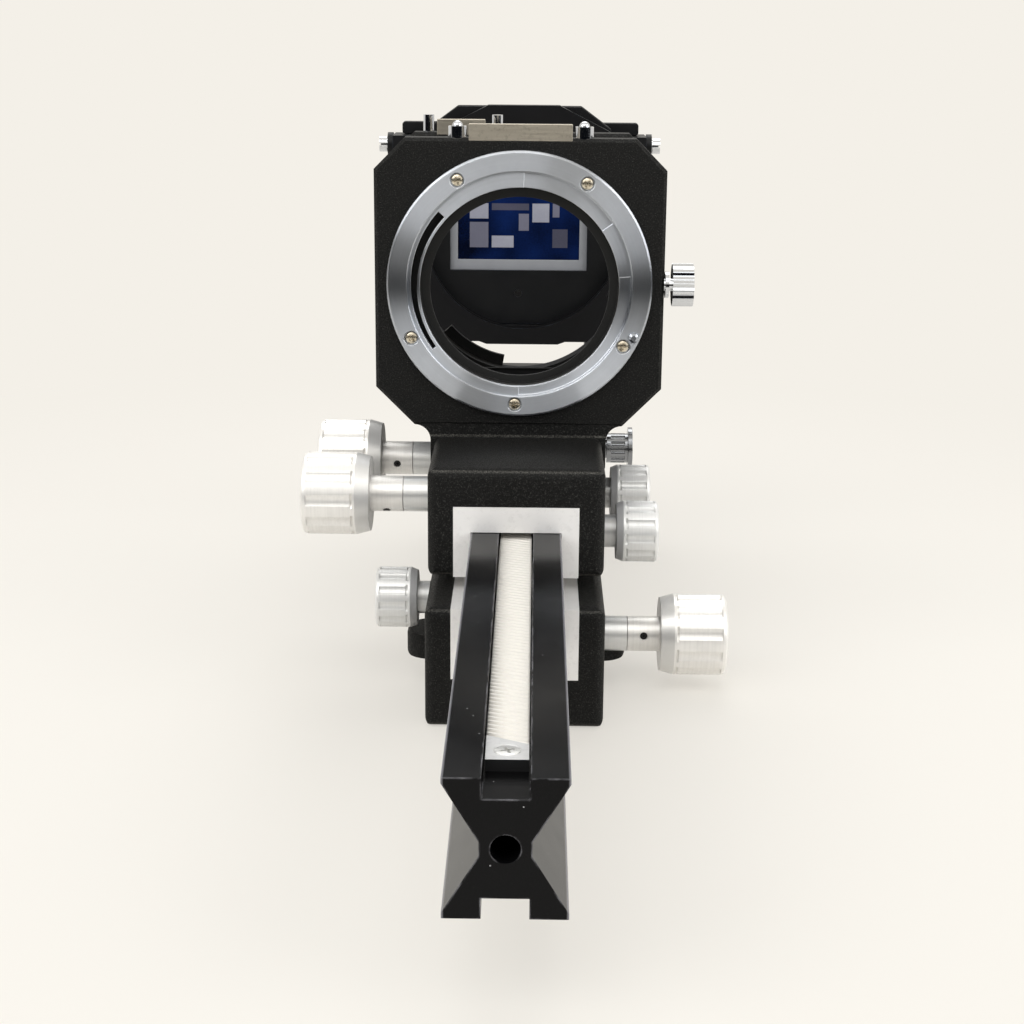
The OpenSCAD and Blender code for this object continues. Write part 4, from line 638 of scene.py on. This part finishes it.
# %% Give turned pieces their own axes
FLANGE_IN = 0.327         # share of a focusing knob's length before its flange starts
FLANGE_OUT = 0.463        # and before its flutes start
LOCK_FLANGE_IN = 0.527    # the same two shares of a lock knob
LOCK_FLANGE_OUT = 0.603


def flange_stripe(name, start, end, colour):
    """The stretch of a knob's length between two shares of it, counted from the block outward."""
    low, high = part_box(name)
    inner, outer = (low.x, high.x) if low.x + high.x > 0 else (high.x, low.x)
    middle = inner + (outer - inner) * (start + end) / 2
    return middle, abs(outer - inner) * (end - start) / 2, colour


for name in ("drive_knob", "front_knob", "rear_knob"):
    dress(turned_metal("satin_anodised_" + name, "#f6f4f0", 0.38, centre_of(name), "X", ring=0.6,
                       relief=0.006, round_edge=0.25, metal=0.55,
                       stripe=flange_stripe(name, FLANGE_IN, FLANGE_OUT, "#e2e1de")), name)
for name in ("tripod_lock_knob", "front_lock_knob", "rear_lock_knob"):
    dress(turned_metal("turned_" + name, "#ececea", 0.36, centre_of(name), "X", ring=0.6,
                       relief=0.006, round_edge=0.2, metal=0.4,
                       stripe=flange_stripe(name, LOCK_FLANGE_IN, LOCK_FLANGE_OUT, "#dcdcdb")), name)
for name in ("drive_sleeve", "front_sleeve", "rear_sleeve"):
    dress(turned_metal("turned_" + name, "#ebebe9", 0.36, centre_of(name), "X", ring=0.2, metal=0.6), name)
for name in ("drive_shaft", "front_shaft", "rear_shaft"):
    dress(turned_metal("ground_" + name, "#c4c4c4", 0.2, centre_of(name), "X"), name)
for name in ("drive_pinion", "front_pinion", "rear_pinion"):
    dress(turned_metal("hobbed_" + name, "#c9ab62", 0.3, centre_of(name), "X"), name)
for name in ("ring_lock_screw", "door_screws"):
    dress(turned_metal("plated_" + name, "#d9dbde", 0.14, centre_of(name), "X", uneven=0.06), name)
# This screw gets a darker colour than the other plated screws.
dress(turned_metal("darker_plated_copier_clamp_screw", "#96989b", 0.2, centre_of("copier_clamp_screw"), "X",
                   uneven=0.06, round_edge=0.2), "copier_clamp_screw")
for name in ("front_plungers", "rear_pins"):
    dress(turned_metal("plated_" + name, "#d3d6dc", 0.10, centre_of(name), "Z", uneven=0.05), name)
# The ring's light edge colour is a painted highlight along its edges and steps.
dress(turned_metal("faced_mount_ring", "#d6dbe3", 0.34, centre_of("mount_ring"), "Y", ring=0.8, relief=0.0012,
                   uneven=0.06, edge="#f2f4f6", comb=1.0, round_edge=0.3), "mount_ring")
dress(turned_metal("ground_lens_lock_pin", "#b4b9c1", 0.16, centre_of("lens_lock_pin"), "Y"), "lens_lock_pin")
bare = sorted(name for name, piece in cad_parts.items()
              if not piece.data.materials or piece.data.materials[0] is None)
print("turned pieces done; pieces without a finish:", bare)

# %% Break the sharp edges
SHARP = math.radians(35)      # an edge that turns more than this gets its round
FLAT = math.radians(0.5)      # and faces that turn less than this are one face
WELD_REACH = 0.001 * MM
ROUND_STEPS = 3


def break_edges(width, *names):
    """Joins the faces of flat-sided pieces and gives their edges a small round, width in millimetres."""
    for name in names:
        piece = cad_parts[name]
        weld = piece.modifiers.new("join_faces", "WELD")
        weld.merge_threshold = WELD_REACH
        flatten = piece.modifiers.new("whole_faces", "DECIMATE")
        flatten.decimate_type = "DISSOLVE"
        flatten.angle_limit = FLAT
        bevel = piece.modifiers.new("broken_edges", "BEVEL")
        bevel.width = width * MM
        bevel.segments = ROUND_STEPS
        bevel.limit_method = "ANGLE"
        bevel.angle_limit = SHARP
        normals = piece.modifiers.new("even_shading", "WEIGHTED_NORMAL")
        normals.keep_sharp = True


break_edges(0.25, "slide_guide", "guide_bar", "stage_keeper", "slide_mount")
break_edges(0.5, "rail")
break_edges(0.15, "front_catch", "rear_catch")
print("edges broken on", sum(1 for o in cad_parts.values() if o.modifiers), "pieces")

# %% [markdown]
# ## Webs between neck and plate
# A casting has no sharp inner corner, because the metal would crack there as it cools. Where the
# neck meets the plate, a small web with a hollow round closes the corner on each side. It is a
# quarter arc drawn out to the neck's thickness, and laps over both so that no seam shows.

# %% Turn built points and faces into a piece
def add_piece(mesh, name, material):
    """An object of this built mesh, in the scene and with its material."""
    data = bpy.data.meshes.new(name)
    mesh.to_mesh(data)
    mesh.free()
    data.materials.append(material)
    piece = bpy.data.objects.new(name, data)
    bpy.context.scene.collection.objects.link(piece)
    return piece


print("meshes before the built pieces:", len(bpy.data.meshes))

# %% Fill the corners under the plates
NECK_HALF = 21.3          # half the neck's width; all of these are in millimetres
NECK_FRONT, NECK_BACK = 0.38, 2.62    # a hair over the neck's faces, to cover its sharp corners
PLATE_LOW = 60.2          # height of the plate's lower edge
WEB_ROUND = 3.8
WEB_STEPS = 10
BITE = 1.0                # how far a web reaches over the neck and into the plate


def build_webs(name, y, body):
    """The two webs of one standard, which stands y metres behind the front one."""
    mesh = bmesh.new()
    for side in (-1, 1):
        outline = [(NECK_HALF - BITE, PLATE_LOW - WEB_ROUND), (NECK_HALF - BITE, PLATE_LOW + BITE),
                   (NECK_HALF + WEB_ROUND, PLATE_LOW + BITE)]
        for step in range(WEB_STEPS + 1):
            turn = math.pi / 2 * step / WEB_STEPS
            outline.append((NECK_HALF + WEB_ROUND * (1 - math.sin(turn)),
                            PLATE_LOW - WEB_ROUND * (1 - math.cos(turn))))
        rows = [[mesh.verts.new((side * x * MM, y + depth * MM, z * MM)) for x, z in outline]
                for depth in (NECK_FRONT, NECK_BACK)]
        for row in rows:
            mesh.faces.new(row)
        for i in range(len(outline)):
            j = (i + 1) % len(outline)
            mesh.faces.new((rows[0][i], rows[0][j], rows[1][j], rows[1][i]))
    bmesh.ops.recalc_face_normals(mesh, faces=mesh.faces)
    piece = add_piece(mesh, name, WEB_ENAMEL)
    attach(piece, body)


build_webs("front_neck_webs", 0.0, "front")
standards_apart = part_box("rear_standard")[0].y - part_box("front_standard")[0].y
build_webs("rear_neck_webs", standards_apart, "rear")
print("webs of radius", WEB_ROUND, "mm, and the standards", round(standards_apart / MM, 1), "mm apart")

# %% [markdown]
# ## Screw heads
# The five screws of the bayonet ring are small domes with a cross recess, and the ones of the end
# plates are nearly flat. A head is a net of circles and spokes: its height follows the dome, drops
# at the rim, and sinks wherever the point lies on one of the two arms of the cross. One function
# makes all of them, and turns each screw its own way, as a hand would leave them.

# %% The shape of a head
HEAD_SPOKES = 56
HEAD_CIRCLES = 18
RIM_SHARE = 0.1           # outer share of the radius where the head turns down


def head_height(x, y, kind):
    """Height of the head over its own rim, in millimetres, at a point of it."""
    share = math.hypot(x, y) / kind["radius"]
    height = kind["dome"] * (1 - share * share)
    if share > 1 - RIM_SHARE:
        height -= kind["rim_drop"] * ((share - 1 + RIM_SHARE) / RIM_SHARE) ** 2
    for along, across in ((x, y), (y, x)):
        if abs(along) < kind["arm"] and abs(across) < kind["slot"] / 2:
            return height - kind["sink"]
    return height


def circle_points(radius):
    """Points round the screw's axis, one on each spoke, in millimetres."""
    turns = [math.tau * spoke / HEAD_SPOKES for spoke in range(HEAD_SPOKES)]
    return [(radius * math.cos(turn), radius * math.sin(turn)) for turn in turns]


def screw_rows(kind):
    """All circles of points of a screw, from the middle of its head outward and down its shank."""
    head = [circle_points(kind["radius"] * circle / HEAD_CIRCLES) for circle in range(1, HEAD_CIRCLES + 1)]
    rows = [[(x, y, head_height(x, y, kind)) for x, y in circle] for circle in head]
    for radius, depth in ((kind["radius"], kind["edge"]), (kind["shank"], kind["edge"] + kind["taper"]),
                          (kind["shank"], kind["length"])):
        rows.append([(x, y, -depth) for x, y in circle_points(radius)])
    return rows


print("points in a head:", HEAD_SPOKES * HEAD_CIRCLES + 1)


# %% Build the screws
def build_screws(name, node, body, kind, places, material):
    """One piece for all screws of a node. A place is x, y, z in millimetres, the axis that the head
    looks along, and the degrees that the screw is turned by."""
    mesh = bmesh.new()
    for x, y, z, outward, turn in places:
        seat = (Matrix.Translation(Vector((x, y, z)) * MM)
                @ Vector(outward).to_track_quat("Z", "Y").to_matrix().to_4x4()
                @ Matrix.Rotation(math.radians(turn), 4, "Z"))
        rings = [[mesh.verts.new(seat @ (Vector(point) * MM)) for point in row] for row in screw_rows(kind)]
        top = mesh.verts.new(seat @ (Vector((0, 0, head_height(0, 0, kind))) * MM))
        foot = mesh.verts.new(seat @ (Vector((0, 0, -kind["length"])) * MM))
        for i in range(HEAD_SPOKES):
            j = (i + 1) % HEAD_SPOKES
            mesh.faces.new((top, rings[0][i], rings[0][j]))
            mesh.faces.new((foot, rings[-1][j], rings[-1][i]))
            for ring, after in zip(rings, rings[1:]):
                mesh.faces.new((ring[i], after[i], after[j], ring[j]))
    bmesh.ops.recalc_face_normals(mesh, faces=mesh.faces)
    piece = add_piece(mesh, name, material)
    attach(piece, body)
    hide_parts(node)


# arm and slot: half the length and the width of an arm of the cross; sink: its depth; edge: height of
# the head's upright rim; taper: from there down to the shank; all in millimetres
RING_SCREW = {"radius": 1.45, "dome": 0.4, "rim_drop": 0.15, "arm": 0.8, "slot": 0.34, "sink": 0.35,
              "edge": 0.5, "taper": 0.05, "shank": 0.95, "length": 4.4}
END_SCREW = {"radius": 2.38, "dome": 0.12, "rim_drop": 0.5, "arm": 1.3, "slot": 0.5, "sink": 0.6,
             "edge": 0.4, "taper": 1.2, "shank": 1.15, "length": 5.0}
RING_SCREW_CIRCLE = 28.7
RING_SCREW_RIM = -0.95    # where the rims of these heads lie along the rail
RING_SCREW_ANGLES = (121, 56.8, -30, -91.8, -153.6)

ring_places = []
for count, angle in enumerate(RING_SCREW_ANGLES):
    ring_places.append((RING_SCREW_CIRCLE * math.cos(math.radians(angle)), RING_SCREW_RIM,
                        RING_MIDDLE + RING_SCREW_CIRCLE * math.sin(math.radians(angle)),
                        (0, -1, 0), 23 + 31 * count))
build_screws("ring_screw_heads", "ring_screws", "front", RING_SCREW, ring_places, SCREW_NICKEL)
end_low, end_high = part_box("rack_screws")
end_places = []
for y in (end_low.y / MM + END_SCREW["radius"], end_high.y / MM - END_SCREW["radius"]):
    for z, way in ((end_high.z / MM - END_SCREW["dome"], 1), (end_low.z / MM + END_SCREW["dome"], -1)):
        end_places.append((0, y, z, (0, 0, way), 20 + 35 * len(end_places)))
build_screws("end_plate_screws", "rack_screws", "rail", END_SCREW, end_places, PLAIN_STEEL)
print("screws built:", len(ring_places) + len(end_places))

# %% [markdown]
# ## The bellows
# Bellows cloth is glued to a board at each end and creased round a form, so that each fold has a
# narrow round crest and a sharp valley, and its corners are cut across. Here it is pushed nearly
# shut. Each fold is four rings of points: one in the valley and three that make the crest. The cloth
# is built in two halves that meet in the middle.

# %% Build the folded cloth
FOLDS_IN_HALF = 9
CLOTH = 0.25              # thickness of the cloth in millimetres
CLOTH_ROOM = 0.3          # how far its crests stay inside the measured box, in millimetres
FOLD_DEPTH = 5.0          # from crest to valley in millimetres
CREST = 0.18              # share of a fold's length that its rounded crest takes
CREST_DROP = 0.08         # share of its depth that the crest has fallen at both ends of this round
CORNER_CUT = 5.5          # how far its corners are cut across, in millimetres


def fold_rows(y_board, y_meet, outside, depth):
    """Rings from the board to the middle, as pairs of a place along the rail and the half width there."""
    step = (y_meet - y_board) / FOLDS_IN_HALF
    shoulder = outside - CREST_DROP * depth
    rows = []
    for fold in range(FOLDS_IN_HALF):
        y = y_board + fold * step
        rows += [(y, outside - depth), (y + step * (0.5 - CREST / 2), shoulder),
                 (y + step * 0.5, outside), (y + step * (0.5 + CREST / 2), shoulder)]
    return rows + [(y_meet, outside - depth)]


def cloth_ring(mesh, half, y, centre_z):
    """Eight-sided ring with a point in the middle of each straight side."""
    side = half - CORNER_CUT * MM
    outline = [(half, -side), (half, 0), (half, side), (side, half), (0, half), (-side, half),
               (-half, side), (-half, 0), (-half, -side), (-side, -half), (0, -half), (side, -half)]
    return [mesh.verts.new((x, y, centre_z + z)) for x, z in outline]


def build_bellows(name, node, y_board, y_meet):
    """One half of the bellows, from its board to the middle, with an outer and an inner skin."""
    low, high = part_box(node)
    outside = (high.x - low.x) / 2 - CLOTH_ROOM * MM
    centre_z = (low.z + high.z) / 2
    rows = fold_rows(y_board, y_meet, outside, FOLD_DEPTH * MM)
    mesh = bmesh.new()
    skins = [[cloth_ring(mesh, half - inset, y, centre_z) for y, half in rows] for inset in (0.0, CLOTH * MM)]
    for skin in skins:
        for ring, after in zip(skin, skin[1:]):
            for i in range(len(ring)):
                j = (i + 1) % len(ring)
                mesh.faces.new((ring[i], ring[j], after[j], after[i]))
    for end in (0, -1):
        outer, inner = skins[0][end], skins[1][end]
        for i in range(len(outer)):
            j = (i + 1) % len(outer)
            mesh.faces.new((outer[i], outer[j], inner[j], inner[i]))
    bmesh.ops.recalc_face_normals(mesh, faces=mesh.faces)
    piece = add_piece(mesh, name, BELLOWS_CLOTH)
    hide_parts(node)
    return piece


front_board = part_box("front_bellows_frame")[1].y
rear_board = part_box("rear_bellows_frame")[0].y
middle = (front_board + rear_board) / 2
front_cloth = build_bellows("front_folded_cloth", "front_bellows", front_board, middle)
rear_cloth = build_bellows("rear_folded_cloth", "rear_bellows", rear_board, middle)
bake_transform(front_cloth)
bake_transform(rear_cloth)
print("bellows:", 2 * FOLDS_IN_HALF, "folds in", round((rear_board - front_board) / MM, 1), "mm")

# %% [markdown]
# ## The picture in the slide
# A slide shows its picture by light from behind; here that light is a painted glow in the colour of
# each dye. This one holds a plain test card of grey panels on deep blue, laid out for this lesson.
# Each panel is a leaf of dye a few hundredths of a millimetre thick that lies on the film, so that it
# moves with the slide.

# %% Lay the panels on the film
LEAF = 0.03               # thickness of a panel in millimetres
CARD = [                  # left, right, low, high from the middle of the film in millimetres, tone
    (-14.5, -9.0, -8.5, -1.0, "mid"),
    (-14.5, -9.0, 0.0, 4.5, "pale"),
    (-8.0, -1.5, -8.5, -5.0, "pale"),
    (-8.0, 3.0, 2.5, 4.5, "dark"),
    (0.0, 3.0, -3.5, 1.5, "mid"),
    (4.0, 9.0, -1.0, 4.5, "pale"),
    (10.0, 14.5, -8.5, -3.0, "dark"),
    (10.0, 12.0, 0.5, 4.5, "mid"),
]


def lay_panel(number, left, right, low, high, tone):
    """One panel as a thin block with broken edges, on the side of the film that faces the camera."""
    film_middle = centre_of("film")
    place = (film_middle.x + (left + right) / 2 * MM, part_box("film")[0].y - LEAF * MM / 2,
             film_middle.z + (low + high) / 2 * MM)
    mesh = bmesh.new()
    bmesh.ops.create_cube(mesh, size=1)
    bmesh.ops.scale(mesh, vec=((right - left) * MM, LEAF * MM, (high - low) * MM), verts=mesh.verts)
    bmesh.ops.translate(mesh, verts=mesh.verts, vec=place)
    bmesh.ops.bevel(mesh, geom=mesh.edges[:], offset=LEAF * MM / 4, segments=1, affect="EDGES")
    piece = add_piece(mesh, f"film_panel_{number}", FILM_TONES[tone])
    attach(piece, "slide")


for number, panel in enumerate(CARD, 1):
    lay_panel(number, *panel)
print("panels on the film:", len(CARD))

# %% [markdown]
# ## Floor, background and light
# The stand rests on a pale table. The floor is a real surface near the stand, so that it takes the
# shadow, and farther out it turns into the flat colour of the background, so that no horizon shows.
# Light comes from four soft lamps and a pale surround. What polished metal mirrors matters as much as
# the lamps. The surround is pale, with a dark band at eye level on the side of the camera: the
# photographer's end of the room. Plated parts get their dark streaks from it, and the turned ring
# goes dark at its left and right and stays bright above and below.

# %% Background and surround
BACKDROP = "#f4f0e8"
ROOM_SIDE = "#07090d"     # what metal mirrors of the photographer's end of the room
SKY_LIGHT = 0.55          # strength of the surround as a light on dull surfaces

world = bpy.data.worlds.new("studio")
bpy.context.scene.world = world
world.use_nodes = True
sky = world.node_tree
sky.nodes.clear()
rays = add_node(sky, "ShaderNodeLightPath")
direction = add_node(sky, "ShaderNodeTexCoord").outputs["Generated"]
compass = add_node(sky, "ShaderNodeSeparateXYZ", {0: direction})
toward_room = add_node(sky, "ShaderNodeMapRange",
                       {"Value": compass.outputs["Y"], "From Min": 0.0, "From Max": -0.35},
                       interpolation_type="SMOOTHSTEP")
height = add_node(sky, "ShaderNodeMath", {0: compass.outputs["Z"]}, operation="ABSOLUTE")
eye_level = add_node(sky, "ShaderNodeMapRange",
                     {"Value": height.outputs[0], "From Min": 0.3, "From Max": 0.18},
                     interpolation_type="SMOOTHSTEP")
room_share = add_node(sky, "ShaderNodeMath",
                      {0: toward_room.outputs["Result"], 1: eye_level.outputs["Result"]},
                      operation="MULTIPLY")
around = add_node(sky, "ShaderNodeMix",
                  {"Factor": room_share.outputs[0], 6: linear(BACKDROP), 7: linear(ROOM_SIDE)},
                  data_type="RGBA")
seen = add_node(sky, "ShaderNodeBackground", {"Color": linear(BACKDROP), "Strength": 1.0})
mirrored = add_node(sky, "ShaderNodeBackground", {"Color": around.outputs[2], "Strength": 1.0})
lighting = add_node(sky, "ShaderNodeBackground", {"Color": linear("#f2f3f5"), "Strength": SKY_LIGHT})
glossy_or_clear = add_node(sky, "ShaderNodeMath",
                           {0: rays.outputs["Is Glossy Ray"], 1: rays.outputs["Is Transmission Ray"]},
                           operation="MAXIMUM")
for_surfaces = add_node(sky, "ShaderNodeMixShader",
                        {0: glossy_or_clear.outputs[0], 1: lighting.outputs[0], 2: mirrored.outputs[0]})
for_all = add_node(sky, "ShaderNodeMixShader",
                   {0: rays.outputs["Is Camera Ray"], 1: for_surfaces.outputs[0], 2: seen.outputs[0]})
add_node(sky, "ShaderNodeOutputWorld", {"Surface": for_all.outputs[0]})
print("background:", BACKDROP)

# %% Floor that fades into the background
TABLE_RADIUS = 0.40       # in metres; beyond its near edge, polished metal mirrors the dark room
TABLE_DROP = 0.05 * MM    # how far it lies under the stand, so that no two faces share a plane
FADE_FROM = 0.12          # distances in metres between which the floor turns into the background
FADE_TO = 0.38
SHADE_KEPT = 0.45         # share of the floor's own shading that stays next to the stand
bpy.ops.mesh.primitive_circle_add(radius=TABLE_RADIUS, vertices=96, fill_type="NGON",
                                  location=(0, 0, -TABLE_DROP))
floor = bpy.context.object
floor.name = "pale_table"
table_top, tree, shader = start_material("pale_laminate", Roughness=0.75)
shader.inputs["Base Color"].default_value = linear("#ece8e0")
where = add_node(tree, "ShaderNodeNewGeometry").outputs["Position"]
distance = add_node(tree, "ShaderNodeVectorMath", {0: where}, operation="LENGTH")
fade = add_node(tree, "ShaderNodeMapRange",
                {"Value": distance.outputs["Value"], "From Min": FADE_FROM, "From Max": FADE_TO,
                 "To Min": 1 - SHADE_KEPT, "To Max": 1.0}, interpolation_type="SMOOTHSTEP")
backdrop_light = add_node(tree, "ShaderNodeEmission", {"Color": linear(BACKDROP), "Strength": 1.0})
paths = add_node(tree, "ShaderNodeLightPath")
seen_or_mirrored = add_node(tree, "ShaderNodeMath",
                            {0: paths.outputs["Is Camera Ray"], 1: paths.outputs["Is Glossy Ray"]},
                            operation="MAXIMUM")
share = add_node(tree, "ShaderNodeMath", {0: fade.outputs["Result"], 1: seen_or_mirrored.outputs[0]},
                 operation="MULTIPLY")
blended = add_node(tree, "ShaderNodeMixShader",
                   {0: share.outputs[0], 1: shader.outputs["BSDF"], 2: backdrop_light.outputs[0]})
tree.links.new(blended.outputs[0], tree.nodes["Material Output"].inputs["Surface"])
floor.data.materials.append(table_top)
print("floor fades from", FADE_FROM, "to", FADE_TO, "m")

# %% Soft lamps
LAMPS = {                 # place in metres, size in metres, power in watts
    "window_left": ((-0.85, -0.55, 0.75), 0.9, 6.5),
    "fill_right": ((0.95, -0.45, 0.55), 0.9, 6.5),
    "top_front": ((-0.1, -0.6, 0.85), 0.6, 2.0),
    "top_back": ((0.0, 0.65, 1.0), 0.8, 5.0),
}
AIM = Vector((0.0, 0.0, 80)) * MM    # about the middle of the stand
for name, (place, size, power) in LAMPS.items():
    lamp = bpy.data.lights.new(name, "AREA")
    lamp.energy = power
    lamp.size = size
    holder = bpy.data.objects.new(name, lamp)
    bpy.context.scene.collection.objects.link(holder)
    holder.location = place
    holder.rotation_euler = (AIM - Vector(place)).to_track_quat("-Z", "Y").to_euler()
bpy.context.scene.view_settings.view_transform = "Standard"
print("lamps:", sorted(LAMPS))
